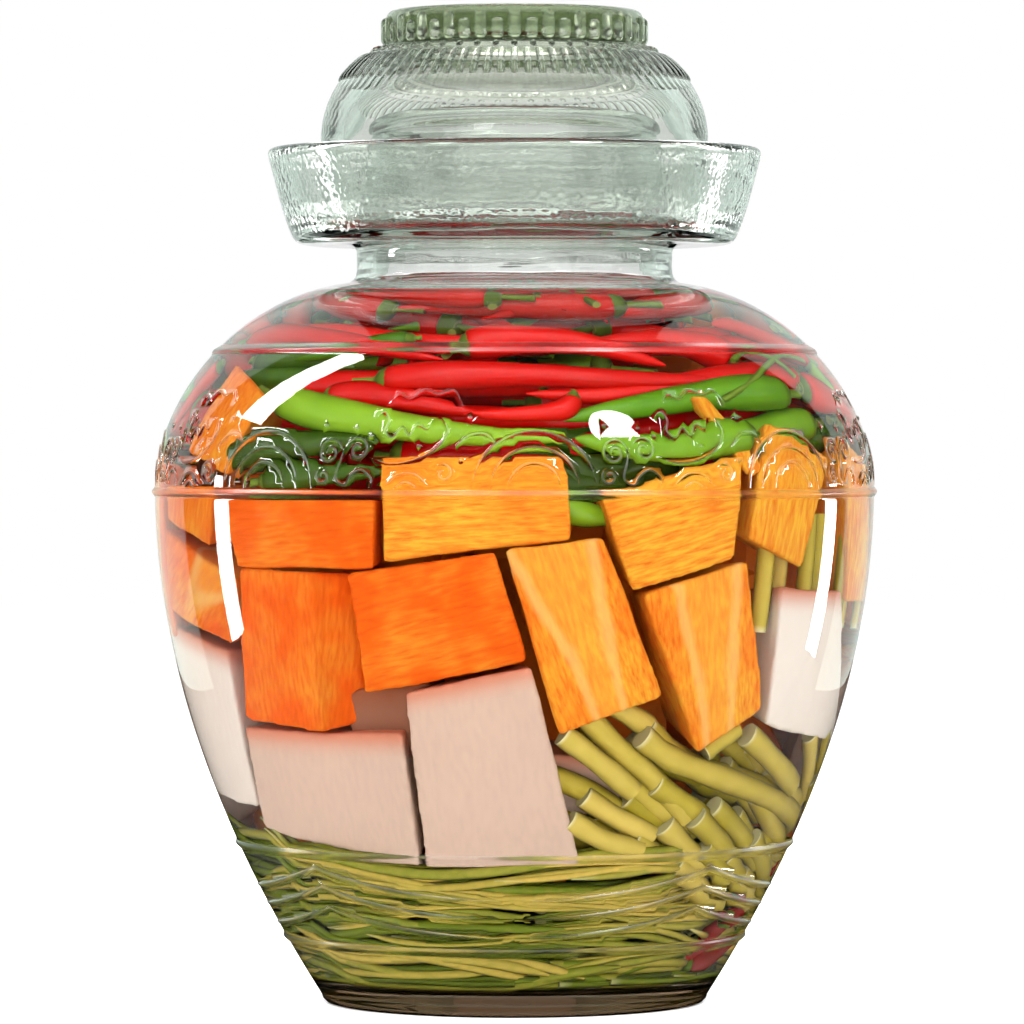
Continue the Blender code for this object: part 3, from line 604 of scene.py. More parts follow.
def lid_outline():
    inside = eased(in_mm((0, 279.2), (12, 279.0), (22, 278.2), (30, 276.9), (37, 274.6), (44, 270.8), (49, 265.2),
        (52.2, 258.6), (53.6, 252), (53.2, 244), (52.4, 236), (51.5, 229.6), (51.6, 228.2), (52.4, 227.4)), 4)
    outside = eased(in_mm((53.2, 227.3), (54.2, 227.5), (54.9, 228.4), (55.4, 232), (56.3, 239), (57.0, 247),
        (57.1, 253.8)), 4)
    dome = [dome_arc(t) for t in np.linspace(0.05, 1.17, 30)]
    ring = eased([(38.9, 280.6), (38.15, 281.4), (38.0, 283), (38.0, 287), (37.9, 289.6), (37.2, 291.2),
        (35.9, 291.9), (34.4, 291.7), (33.2, 290.4), (32.6, 288), (31.8, 285.2), (29.8, 282.9), (26, 282.2),
        (14, 282.2), (0, 282.2)], 4)
    return inside + outside[:-1] + in_mm(*dome) + in_mm(*ring)

lid_shape = lid_outline()
print("lid outline", len(lid_shape), "points, top", round(max(z for _, z in lid_shape) / MM, 2), "mm")

# %% Ribs, teeth and flutes
def round_ends(count, width):
    """Thicknesses of a bead with rounded ends."""
    made = []
    for k in range(count):
        near = min(k, count - 1 - k) / 3
        made.append(width * (0.12 if near == 0 else min(1, (1 - (1 - min(near, 1)) ** 2) ** 0.5)))
    return made

def dome_point(turn, sunk):
    radius, height = dome_arc(turn, sunk)
    return Vector((0, -radius * MM, height * MM))

def spun(point, angle):
    turn = radians(angle)
    return Vector((-point.y * sin(turn), point.y * cos(turn), point.z))

rib = [dome_point(t, 0.4) for t in np.linspace(0.62, 1.06, 15)]
ribs = [(rib, round_ends(15, 1.2 * MM), 0.0)]
tooth = [dome_point(t, 0.1) for t in np.linspace(1.09, 1.19, 7)]
teeth = [(tooth, round_ends(7, 1.0 * MM), 0.0)]

def flute(angle, top):
    line = [spun(Vector((0, -37.3 * MM, z * MM)), angle) for z in np.linspace(281.6, top, 15)]
    return line, round_ends(15, 2.1 * MM), 0.0

flutes = [flute(0, 290.2), flute(7.5, 288.0)]

# %% Turn the lid and join its ribs and flutes
blank = bpy.data.objects.new("lid_blank", turned("lid_blank", lid_shape, 240))
bpy.context.scene.collection.objects.link(blank)
for label, lines, count in (("lid_ribs", ribs, 80), ("lid_teeth", teeth, 48), ("lid", flutes, 24)):
    lid_mesh = grown(paths(label, lines), relief, Glass=blank, Repeats=count, Finish=lid_glass)
    blank.data = lid_mesh
bpy.data.objects.remove(blank)
print("frosted points", mark(lid_mesh, "frosted", lambda radius, height: radius < 33.5 * MM and height > 282 * MM))

def groove_shade_share(radius, height):
    """Painted shade: 1 in the grooves of the ring, and a half in the valleys between the ribs of the dome."""
    if 37 * MM < radius < 38.25 * MM and 281.5 * MM < height < 289.5 * MM:
        return 1.0
    across, up = (radius / MM - RING_R) / DOME_R, (height / MM - BULGE) / DOME_RISE
    return 0.5 * (0.64 < atan2(up, across) < 1.08 and 0.995 < hypot(across, up) < 1.009)

print("groove points", mark(lid_mesh, "grooved", groove_shade_share))
lid = piece("lid", lid_mesh, "lid", "lid_glass", instead_of=("lid_skirt", "lid_dome", "lid_ring"))
print("lid", sum(len(p.vertices) - 2 for p in lid_mesh.polygons), "triangles")

# %% Keep most of the soft boxes off the lid
# They would mirror on the dome, or light the haze in its dish, where the photograph shows clear glass.
all_but_lid = bpy.data.collections.new("all_but_the_lid")
all_but_lid.objects.link(lid)
for item in all_but_lid.collection_objects:
    item.light_linking.link_state = "EXCLUDE"
for label in ("left_strip_high", "left_strip_low", "round_lamp", "overhead", "top_fill", "side_fill_-1",
        "side_fill_1"):
    bpy.data.objects[label].light_linking.receiver_collection = all_but_lid
print("kept off the lid", len(all_but_lid.collection_objects))

# %% [markdown]
# ## Brine
# Salt water with chilli and carrot juice has an index of 1.34 and a faint red-brown tint that shows
# only in the gaps. It is turned from the glass's own inner lines, and reaches 0.2 mm into the glass, so a
# ray passes from glass to brine with no film of air between them. Its own mirror reflection is taken
# away, and its top swells a little, as the chillies lift it.

# %% Make the brine
chilli_brine, brine_tree, shader = new_finish("chilli_brine")
BRINE_LOOK = {
    "Base Color": (1, 1, 1, 1), "Roughness": 0.0, "IOR": 1.34, "Transmission Weight": 1.0,
    "Specular Tint": (0, 0, 0, 1),
}
for socket, value in BRINE_LOOK.items():
    shader.inputs[socket].default_value = value
soak = add(brine_tree, "ShaderNodeVolumeAbsorption", {"Color": paint("#E6C8B4"), "Density": 4.0})
brine_tree.links.new(soak.outputs["Volume"], brine_tree.nodes["Material Output"].inputs["Volume"])

place = add(brine_tree, "ShaderNodeTexCoord")
height = add(brine_tree, "ShaderNodeSeparateXYZ", {0: place.outputs["Object"]})
swirl = add(brine_tree, "ShaderNodeTexNoise", {"Vector": place.outputs["Object"], "Scale": 1 / (13 * MM),
    "Detail": 2.0})
near_top = add(brine_tree, "ShaderNodeMapRange",
    {"Value": height.outputs["Z"], "From Min": 204.5 * MM, "From Max": 205.5 * MM, "To Max": 0.3})
swell = add(brine_tree, "ShaderNodeBump", {"Strength": near_top, "Distance": 1.0 * MM, "Height": swirl})
brine_tree.links.new(swell.outputs[0], shader.inputs["Normal"])

INTO_GLASS = 0.2 * MM

def brine_outline():
    level = BRINE_LEVEL / MM
    side = [spot for spot in inner_wall(WALL - INTO_GLASS) if spot[1] < BRINE_LEVEL - 0.3 * MM]
    edge = side[-1][0] / MM
    top = in_mm((edge - 0.9, level), (edge - 2.2, level - 0.7), (edge - 4.5, level - 1.1), (edge - 9, level - 1.2),
        (0, level - 1.2))
    return inner_floor(side[0], (FLOOR - INTO_GLASS) / MM)[::-1] + side + top

brine = piece("brine", turned("brine", brine_outline(), 144), "crock", "jar_glass", chilli_brine)
print("brine", len(brine.data.polygons), "faces")

# %% [markdown]
# ## Cut carrot and daikon
# A cook's chunks are flat cut faces with edges only a millimetre round, and the flesh keeps fine
# lengthwise fibres. Each chunk is the hull of its corners, remeshed to an even skin so that noise can
# roughen it. It keeps its own grain coordinates, in metres along and across the root and out from its
# core, so that fibres and the paler core follow the chunk and not the jar.

# %% A helper that makes a chunk
SPREAD = 1.055  # rounding takes about half a millimetre off each side, so the corners start further out

def smooth_step(value):
    value = min(max(value, 0), 1)
    return value * value * (3 - 2 * value)

def chunk(name, front, back, grain, core, seed, tone, voxel=1.15):
    """A cut block. Its front is (angle, height, depth) corners, and back is (depth, shrink, shift)."""
    rng = Random(seed)
    depth, shrink, shift = back
    middle_angle = sum(c[0] for c in front) / len(front)
    middle_height = sum(c[1] for c in front) / len(front)
    front = [(middle_angle + (a - middle_angle) * SPREAD, middle_height + (h - middle_height) * SPREAD, d) for a, h,
        d in front]
    corners = [in_jar(a, h, d) for a, h, d in front]
    for a, h, _ in front:
        inner = (middle_angle + (a - middle_angle) * shrink, middle_height + (h - middle_height) * shrink + shift)
        corners.append(in_jar(inner[0], inner[1], depth))
    work = bmesh.new()
    for corner in corners:
        work.verts.new(corner)
    made = bmesh.ops.convex_hull(work, input=work.verts)
    spare = [v for v in made["geom_interior"] + made["geom_unused"] if isinstance(v, bmesh.types.BMVert)]
    bmesh.ops.delete(work, geom=spare, context="VERTS")
    bmesh.ops.dissolve_limit(work, angle_limit=radians(2), verts=work.verts, edges=work.edges)
    bmesh.ops.bevel(work, geom=work.edges[:] + work.verts[:], offset=0.8 * MM, segments=2, affect="EDGES",
        profile=0.5)
    mesh = bpy.data.meshes.new(name)
    work.to_mesh(mesh)
    work.free()
    host = bpy.data.objects.new(name, mesh)
    bpy.context.scene.collection.objects.link(host)
    skin = host.modifiers.new("even skin", "REMESH")
    skin.mode = "VOXEL"
    skin.voxel_size = voxel * MM
    soft = host.modifiers.new("soft edges", "SMOOTH")
    soft.factor, soft.iterations = 0.5, 2
    graph = bpy.context.evaluated_depsgraph_get()
    mesh = bpy.data.meshes.new_from_object(host.evaluated_get(graph), depsgraph=graph)
    bpy.data.objects.remove(host)
    middle = sum(corners, Vector()) / len(corners)
    outward = Vector((middle.x, middle.y, 0)).normalized()
    sideways = Vector((0, 0, 1)).cross(outward)
    lean = radians(grain)
    along = sideways * sin(lean) + Vector((0, 0, 1)) * cos(lean)
    across = sideways * cos(lean) - Vector((0, 0, 1)) * sin(lean)
    heart = in_jar(middle_angle, middle_height, 0) + across * core[0] * MM - outward * core[1] * MM
    jumble = Vector((rng.uniform(-1, 1), rng.uniform(-1, 1), rng.uniform(-1, 1))) * 0.3
    grains, tones, blush = [], [], []
    (left, _, _), (right, _, _) = front[:2]
    for point in mesh.vertices:
        spot = point.co.copy()
        wobble = noise.noise((spot + jumble) / (13 * MM)) * 0.5 + noise.noise((spot - jumble) / (3 * MM)) * 0.12
        point.co += point.normal * min(wobble - 0.15, 0.3) * MM
        arm = spot - heart
        grains += [arm.dot(along), arm.dot(across), -arm.dot(outward)]
        tones.append(tone)
        share = min(max((atan2(spot.x, -spot.y) * 180 / pi - left) / (right - left), 0), 1)
        below = corners[0].z + (corners[1].z - corners[0].z) * share - spot.z
        blush.append(smooth_step(1 - below / (9 * MM)) ** 1.5)
    mesh.attributes.new("grain", "FLOAT_VECTOR", "POINT").data.foreach_set("vector", grains)
    mesh.attributes.new("tone", "FLOAT", "POINT").data.foreach_set("value", tones)
    mesh.attributes.new("blush", "FLOAT", "POINT").data.foreach_set("value", blush)
    mesh.shade_smooth()
    return mesh

# %% [markdown]
# ## Carrot flesh
# Raw carrot soaked in brine is a deep, slightly translucent orange. Its core is paler, with a thin
# yellow ring between core and flesh that shows as a V or a pair of lines where the knife crossed it,
# and the fibres are streaks about half a millimetre wide. It has no gloss under brine.

# %% Carrot
def carrot_flesh():
    finish, tree, shader = new_finish("cut_carrot_flesh")
    grain = add(tree, "ShaderNodeAttribute", attribute_name="grain")
    tone = add(tree, "ShaderNodeAttribute", attribute_name="tone")
    stretch = add(tree, "ShaderNodeVectorMath", {0: grain.outputs["Vector"], 1: (0.14, 1.0, 1.0)},
        operation="MULTIPLY")
    fibres = add(tree, "ShaderNodeTexNoise", {"Vector": stretch, "Scale": 1 / (1.1 * MM), "Detail": 4.0,
        "Roughness": 0.62})
    clouds = add(tree, "ShaderNodeTexNoise", {"Vector": grain.outputs["Vector"], "Scale": 1 / (16 * MM),
        "Detail": 2.0})
    parts = add(tree, "ShaderNodeSeparateXYZ", {0: grain.outputs["Vector"]})
    flat = add(tree, "ShaderNodeCombineXYZ", {"X": 0.0, "Y": parts.outputs["Y"], "Z": parts.outputs["Z"]})
    reach = add(tree, "ShaderNodeVectorMath", {0: flat}, operation="LENGTH")
    wander = add(tree, "ShaderNodeMath", {0: clouds, 1: 3.0 * MM, 2: reach.outputs["Value"]},
        operation="MULTIPLY_ADD")
    core_size = add(tree, "ShaderNodeMath", {0: parts.outputs["X"], 1: 0.22, 2: 11.5 * MM},
        operation="MULTIPLY_ADD")
    gap = add(tree, "ShaderNodeMath", {0: wander, 1: core_size}, operation="SUBTRACT")
    ring = add(tree, "ShaderNodeMath", {0: gap}, operation="ABSOLUTE")
    ring_line = add(tree, "ShaderNodeMapRange", {"Value": ring, "From Min": 0.2 * MM, "From Max": 1.7 * MM,
        "To Min": 1.0, "To Max": 0.0}, interpolation_type="SMOOTHSTEP")
    core = add(tree, "ShaderNodeMapRange", {"Value": gap, "From Min": -2.0 * MM, "From Max": 0.5 * MM,
        "To Min": 1.0, "To Max": 0.0}, interpolation_type="SMOOTHSTEP")
    warm = add(tree, "ShaderNodeMapRange", {"Value": clouds, "From Min": 0.3, "From Max": 0.7, "To Min": -0.34,
        "To Max": 0.34})
    varied = add(tree, "ShaderNodeMath", {0: warm, 1: tone.outputs["Fac"]}, operation="ADD", use_clamp=True)
    deep = add(tree, "ShaderNodeMix", {"Factor": varied, "A": paint("#FF6C12"), "B": paint("#FCBA3A")},
        data_type="RGBA")
    streaks = add(tree, "ShaderNodeMapRange", {"Value": fibres, "From Min": 0.38, "From Max": 0.72, "To Max": 0.8})
    dark = add(tree, "ShaderNodeMix", {"Factor": streaks, "A": deep, "B": paint("#E8540C")}, data_type="RGBA")
    pale = add(tree, "ShaderNodeMath", {0: core, 1: 0.42}, operation="MULTIPLY")
    cored = add(tree, "ShaderNodeMix", {"Factor": pale, "A": dark, "B": paint("#FFB244")}, data_type="RGBA")
    line_share = add(tree, "ShaderNodeMath", {0: ring_line, 1: 0.6}, operation="MULTIPLY")
    lined = add(tree, "ShaderNodeMix", {"Factor": line_share, "A": cored, "B": paint("#FFCB74")}, data_type="RGBA")
    tree.links.new(lined.outputs["Result"], shader.inputs["Base Color"])
    shader.inputs["Roughness"].default_value = 0.5
    shader.inputs["Specular IOR Level"].default_value = 0.05
    bump = add(tree, "ShaderNodeBump", {"Strength": 0.5, "Distance": 0.25 * MM, "Height": fibres})
    tree.links.new(bump.outputs[0], shader.inputs["Normal"])
    return finish

carrot = carrot_flesh()
print("finish", carrot.name)

# %% [markdown]
# ## Daikon flesh
# Daikon is a dense white radish. Chilli brine stains its cut faces a pinkish white, stronger along the
# upper edges, and very fine streaks run down it. A tone below zero mixes in a dark brown as painted shade,
# for a piece that sits back in shade.

# %% Daikon
def daikon_flesh():
    finish, tree, shader = new_finish("cut_daikon_flesh")
    grain = add(tree, "ShaderNodeAttribute", attribute_name="grain")
    blush = add(tree, "ShaderNodeAttribute", attribute_name="blush")
    stretch = add(tree, "ShaderNodeVectorMath", {0: grain.outputs["Vector"], 1: (0.10, 1.0, 1.0)},
        operation="MULTIPLY")
    fibres = add(tree, "ShaderNodeTexNoise", {"Vector": stretch, "Scale": 1 / (1.6 * MM), "Detail": 3.0})
    clouds = add(tree, "ShaderNodeTexNoise", {"Vector": grain.outputs["Vector"], "Scale": 1 / (22 * MM),
        "Detail": 2.0})
    tone = add(tree, "ShaderNodeAttribute", attribute_name="tone")
    plain = add(tree, "ShaderNodeMix", {"Factor": tone.outputs["Fac"], "A": paint("#E5C5AE"),
        "B": paint("#FFF3E6")}, data_type="RGBA")
    calm = add(tree, "ShaderNodeMapRange", {"Value": tone.outputs["Fac"], "From Min": 0.0, "From Max": 1.0,
        "To Min": 0.5, "To Max": 0.05})
    cloudy = add(tree, "ShaderNodeMath", {0: clouds, 1: calm}, operation="MULTIPLY")
    base = add(tree, "ShaderNodeMix", {"Factor": cloudy, "A": plain, "B": paint("#DDBFAD")}, data_type="RGBA")
    streaks = add(tree, "ShaderNodeMapRange", {"Value": fibres, "From Min": 0.40, "From Max": 0.75, "To Min": 0.0,
        "To Max": calm})
    streaked = add(tree, "ShaderNodeMix", {"Factor": streaks, "A": base, "B": paint("#D6B7A5")}, data_type="RGBA")
    stain = add(tree, "ShaderNodeMath", {0: blush.outputs["Fac"], 1: 0.95}, operation="MULTIPLY")
    stained = add(tree, "ShaderNodeMix", {"Factor": stain, "A": streaked, "B": paint("#E28E6E")}, data_type="RGBA")
    # Painted shade: a tone below zero mixes in a dark brown.
    shade = add(tree, "ShaderNodeMapRange", {"Value": tone.outputs["Fac"], "From Min": -1.0, "From Max": 0.0,
        "To Min": 0.85, "To Max": 0.0})
    shaded = add(tree, "ShaderNodeMix", {"Factor": shade, "A": stained, "B": paint("#8A4A28")}, data_type="RGBA")
    tree.links.new(shaded.outputs["Result"], shader.inputs["Base Color"])
    shader.inputs["Roughness"].default_value = 0.45
    shader.inputs["Specular IOR Level"].default_value = 0.05
    bump = add(tree, "ShaderNodeBump", {"Strength": 0.3, "Distance": 0.15 * MM, "Height": fibres})
    tree.links.new(bump.outputs[0], shader.inputs["Normal"])
    return finish

daikon = daikon_flesh()
print("finish", daikon.name)

# %% The carrots at the front and sides
# Each is its front corners from the top left, its back, the grain's lean, the core's place and a tone.
CARROTS = {
    1: ([(-76, 139.5, 0), (-52, 126, 0), (-55, 107.5, 0), (-78, 116, 0)], (25, 0.9, 0), 60, (0, 12), 0.35),
    2: ([(-74, 152, 0), (-56, 152.5, 0), (-58, 135.5, 0), (-74, 142.5, 0)], (25, 0.9, 0), 20, (0, 30), 0.3),
    3: ([(-63, 188, 0), (-48, 179, 0), (-53, 157, 0), (-66, 163, 0)], (24, 0.8, 0), 20, (0, 30), 0.45),
    4: ([(-54, 149.5, 0), (-23, 149.5, 0), (-23.5, 129.5, 0), (-50, 129.5, 0)], (25, 0.85, 0), 85, (0, 30), 0.05),
    5: ([(-49.5, 128, 0), (-34.5, 127, 0), (-28.5, 126, 11), (-29.5, 84, 11), (-36.5, 83, 0), (-54.5, 86, 0)],
    (25, 0.85, 0), 5, (0, 30), 0.12),
    6: ([(-21, 161, 0), (7.5, 161.5, 0), (8.5, 138, 0), (-20.5, 132, 0)], (25, 0.85, 0), 88, (0, 30), 0.75),
    7: ([(-27, 127.5, 0), (-3.5, 133.5, 0), (1.5, 103.5, 0), (-26, 94, 0)], (25, 0.85, 0), 75, (0, 30), 0.08),
    8: ([(-1, 134, 0), (14, 137.5, 0), (25.5, 93.5, 0), (8, 83, 0)], (25, 0.85, 0), -20, (0, 9.5), 0.7),
    9: ([(14, 150, 0), (39, 161.5, 0), (37, 132, 0), (19.5, 123.5, 0)], (25, 0.85, 0), 75, (0, 30), 1.0),
    10: ([(21.5, 121.5, 0), (40, 130.5, 0), (48, 89, 0), (35, 77, 0)], (25, 0.85, 0), -12, (0, 9.5), 0.75),
    11: ([(46, 171, 0), (60.5, 160.5, 0), (53, 129.5, 0), (40.5, 138, 0)], (24, 0.8, 0), 15, (0, 30), 0.95),
    12: ([(68, 166, 0), (79, 157, 0), (84, 119, 0), (70, 119.5, 0)], (24, 0.85, 0), 5, (0, 30), 0.8),
}
for number, (front, back, grain, core, tone) in CARROTS.items():
    mesh = chunk(f"cut_carrot_{number}", front, back, grain, core, number, tone)
    piece(f"cut_carrot_{number}", mesh, "crock", "carrot_flesh", carrot, instead_of=(f"carrot_{number}",))
print("front carrots", len(CARROTS))

# %% The carrots and daikon round the back
def back_row(kind, finish, first, numbers, start, stop, low, high, seed):
    """A row of chunks side by side round the back. Two of them stand for each node of the model."""
    rng = Random(seed)
    count = 2 * len(numbers)
    width = (stop - start) / count
    for k in range(count):
        left, right = start + k * width + rng.uniform(0.4, 1.6), start + (k + 1) * width - rng.uniform(0.4, 1.6)
        top, bottom = high + rng.uniform(-5, 4), low + rng.uniform(-3, 5)
        tilt = rng.uniform(-3.5, 3.5)
        front = [(left, top + tilt, 0), (right, top - tilt, 0), (right, bottom - tilt / 2, 0),
            (left, bottom + tilt / 2, 0)]
        name = f"cut_{kind}_{first + k}"
        mesh = chunk(name, front, (24, 0.85, 0), rng.choice((0, 85, 10)), (rng.uniform(-4, 4), rng.choice((9, 30))),
            seed + k, rng.random(), 1.5)
        node = numbers[k // 2] if k % 2 == 0 else None
        piece(name, mesh, "crock", f"{kind}_flesh", finish, instead_of=(f"{kind}_{node}",) if node else ())
    print("back row of", kind, count)

back_row("carrot", carrot, 13, (13, 14, 15, 16, 17), 87, 282, 110, 156, 40)
back_row("daikon", daikon, 5, (5, 6, 7, 8), 88, 274, 51, 104, 60)

# %% The daikon at the front and sides
DAIKONS = {
    1: ([(-84, 112, 0), (-57, 104, 0), (-61, 60, 0), (-84, 63, 0)], (27, 0.85, 0), 3, 0.85),
    2: ([(-55.5, 82, 0), (-21, 81.5, 0), (-21, 44.5, 0), (-60.5, 53.5, 0)], (27, 0.85, 0), 3, 0),
    3: ([(-18.5, 93, 0), (2.5, 100.5, 0), (13, 46, 0), (-18.5, 44.5, 0)], (27, 0.85, 0), -6, 0),
    4: ([(49, 122.5, 0), (67, 121, 0), (87, 78, 0), (51, 84, 0)], (27, 0.85, 0), -8, 1.0),
}
for number, (front, back, grain, tone) in DAIKONS.items():
    mesh = chunk(f"cut_daikon_{number}", front, back, grain, (0, 30), 20 + number, tone)
    piece(f"cut_daikon_{number}", mesh, "crock", "daikon_flesh", daikon, instead_of=(f"daikon_{number}",))
# The middle piece sits back in shade, and its tone of -1 paints shade on it.
SMALL = {
    "low": ([(6, 73, 12), (26, 71, 12), (27, 50, 12), (8, 48, 12)], 0.3),
    "mid": ([(-33, 92, 8), (-16, 96, 8), (-15, 76, 8), (-32, 72, 8)], -1.0),
}
for label, (front, tone) in SMALL.items():
    mesh = chunk(f"cut_daikon_{label}", front, (34, 0.85, 0), 0, (0, 30), 31, tone)
    piece(f"cut_daikon_{label}", mesh, "crock", "daikon_flesh", daikon)
print("front daikon", len(DAIKONS))

# %% [markdown]
# ## The middle of the jar
# The middle can't be seen, only guessed at through the gaps: more chunks stood on end. Geometry Nodes
# scatter plain blocks there, each turned and sized at random from a fixed seed.

# %% Scatter chunks in the middle
heap, given, result = new_tree("heap of chunks", ("Size", "NodeSocketFloat"), ("Seed", "NodeSocketInt"),
    ("Finish", "NodeSocketMaterial"))
block = add(heap, "GeometryNodeMeshCube", {"Size": (0.9, 0.75, 1.4), "Vertices X": 4, "Vertices Y": 4,
    "Vertices Z": 5})
rounded = add(heap, "GeometryNodeSubdivisionSurface", {"Mesh": block, "Level": 1})
spin = add(heap, "FunctionNodeRandomValue", {"Min": (-0.5, -0.5, 0.0), "Max": (0.5, 0.5, 6.28),
    "Seed": given.outputs["Seed"]}, data_type="FLOAT_VECTOR")
size = add(heap, "FunctionNodeRandomValue", {"Min": 0.8, "Max": 1.1, "Seed": given.outputs["Seed"]},
    data_type="FLOAT")
scale = add(heap, "ShaderNodeMath", {0: size.outputs[1], 1: given.outputs["Size"]}, operation="MULTIPLY")
copies = add(heap, "GeometryNodeInstanceOnPoints",
    {"Points": given.outputs["Paths"], "Instance": rounded, "Rotation": spin, "Scale": scale})
real = add(heap, "GeometryNodeRealizeInstances", {"Geometry": copies})
dressed = add(heap, "GeometryNodeSetMaterial", {"Geometry": real, "Material": given.outputs["Finish"]})
heap.links.new(dressed.outputs[0], result.inputs[0])
rng = Random(5)
spots = []
for height in range(62, 150, 29):
    for radius, count in ((0, 1), (24, 6), (46, 11)):
        for k in range(count):
            turn = 2 * pi * (k + rng.random() * 0.5) / count
            spots.append(((radius * sin(turn)) * MM, (radius * cos(turn)) * MM, (height + rng.uniform(-6, 6)) * MM))
grid = bpy.data.meshes.new("inner_chunks")
grid.from_pydata(spots, [], [])
piece("inner_chunks", grown(grid, heap, Size=27 * MM, Seed=3, Finish=carrot), "crock", "carrot_flesh",
    instead_of=("carrot_core",))
print("inner chunks", len(spots))

# %% [markdown]
# ## Beans and chillies
# A long bean or a chilli is a soft tube with its own thickness along its length. One tree sweeps a
# circle along each path and scales it by the thickness stored there. Tone and place along the path
# stay on the mesh as attributes, so that one material can give each bean its own green and pale ends.
# A bean gets painted shade at its sides, where one looks along its skin, in place of the shade that falls between one
# bean and the next, and a tone below zero paints shade on beans and chillies that lie deep.

# %% The tree that sweeps a stalk along each path
stalks, given, result = new_tree("stalks", ("Sides", "NodeSocketInt"), ("Finish", "NodeSocketMaterial"))
curve = add(stalks, "GeometryNodeMeshToCurve", {"Mesh": given.outputs["Paths"]})
ring = add(stalks, "GeometryNodeCurvePrimitiveCircle", {"Resolution": given.outputs["Sides"], "Radius": 1.0})
width = add(stalks, "GeometryNodeInputNamedAttribute", {"Name": "thickness"}, data_type="FLOAT")
swept = add(stalks, "GeometryNodeCurveToMesh", {"Curve": curve, "Profile Curve": ring, "Scale": width,
    "Fill Caps": True})
real = add(stalks, "GeometryNodeRealizeInstances", {"Geometry": swept})
smooth = add(stalks, "GeometryNodeSetShadeSmooth", {"Geometry": real})
dressed = add(stalks, "GeometryNodeSetMaterial", {"Geometry": smooth, "Material": given.outputs["Finish"]})
stalks.links.new(dressed.outputs[0], result.inputs[0])
print("stalk tree", len(stalks.nodes), "nodes")

# %% Bean skin
def stalk_skin(name, shades, tip, roughness, specular, patch, edge, side_shade_share):
    """Skin of a stalk. Two shades mix by its tone, and its first end has the tip colour. A tone below zero mixes in
    the last colour as painted shade, and its sides get painted shade in that colour too.
    """
    finish, tree, shader = new_finish(name)
    place = add(tree, "ShaderNodeTexCoord")
    tone = add(tree, "ShaderNodeAttribute", attribute_name="tone")
    along = add(tree, "ShaderNodeAttribute", attribute_name="along")
    clouds = add(tree, "ShaderNodeTexNoise", {"Vector": place.outputs["Object"], "Scale": 1 / (patch * MM),
        "Detail": 3.0})
    shift = add(tree, "ShaderNodeMath", {0: clouds, 1: 0.6, 2: tone.outputs["Fac"]}, operation="MULTIPLY_ADD")
    share = add(tree, "ShaderNodeMapRange", {"Value": shift, "From Min": 0.15, "From Max": 1.35})
    mixed = add(tree, "ShaderNodeMix", {"Factor": share, "A": paint(shades[0]), "B": paint(shades[1])},
        data_type="RGBA")
    near = add(tree, "ShaderNodeMapRange", {"Value": along.outputs["Fac"], "From Min": 0.0, "From Max": 0.06,
        "To Min": 0.85, "To Max": 0.0})
    tipped = add(tree, "ShaderNodeMix", {"Factor": near, "A": mixed, "B": paint(tip)}, data_type="RGBA")
    # Painted shade: a tone below zero mixes in the same dark colour, for pieces that lie deep in shade.
    deep_shade = add(tree, "ShaderNodeMapRange", {"Value": tone.outputs["Fac"], "From Min": -1.0, "From Max": 0.0,
        "To Min": 0.8, "To Max": 0.0})
    deep_shaded = add(tree, "ShaderNodeMix", {"Factor": deep_shade, "A": tipped, "B": paint(edge)}, data_type="RGBA")
    # Painted shade: the sides, where one looks along the skin, mix in the dark colour, in place of the shade that
    # falls between one stalk and the next.
    side = add(tree, "ShaderNodeLayerWeight", {"Blend": 0.4})
    dark = add(tree, "ShaderNodeMapRange", {"Value": side.outputs["Facing"], "From Min": 0.12, "From Max": 0.85,
        "To Min": 0.0, "To Max": side_shade_share})
    side_shaded = add(tree, "ShaderNodeMix", {"Factor": dark, "A": deep_shaded, "B": paint(edge)}, data_type="RGBA")
    tree.links.new(side_shaded.outputs["Result"], shader.inputs["Base Color"])
    shader.inputs["Roughness"].default_value = roughness
    shader.inputs["Specular IOR Level"].default_value = specular
    bump = add(tree, "ShaderNodeBump", {"Strength": 0.3, "Distance": 0.2 * MM, "Height": clouds})
    tree.links.new(bump.outputs[0], shader.inputs["Normal"])
    return finish

# The colour before the last number is painted shade, for the sides and for tones below zero.
long_bean = stalk_skin("soaked_long_bean_skin", ("#80901E", "#F2CC62"), "#D6D48A", 0.4, 0.16, 3.0, "#1C2204", 0.97)
cut_bean = stalk_skin("soaked_cut_bean_skin", ("#BAA830", "#E8CC66"), "#F2EDBA", 0.4, 0.14, 5.0, "#565010", 0.8)
print("finishes", long_bean.name, cut_bean.name)

# %% [markdown]
# ## Where the beans lie
# The cook wound long beans round the bottom in locks, a few strands side by side that rise and fall
# together. Random numbers from a fixed seed lay them, and two rules bend them as in the photograph: the
# bed stands higher at the left, and gives way to the cut beans at the right.

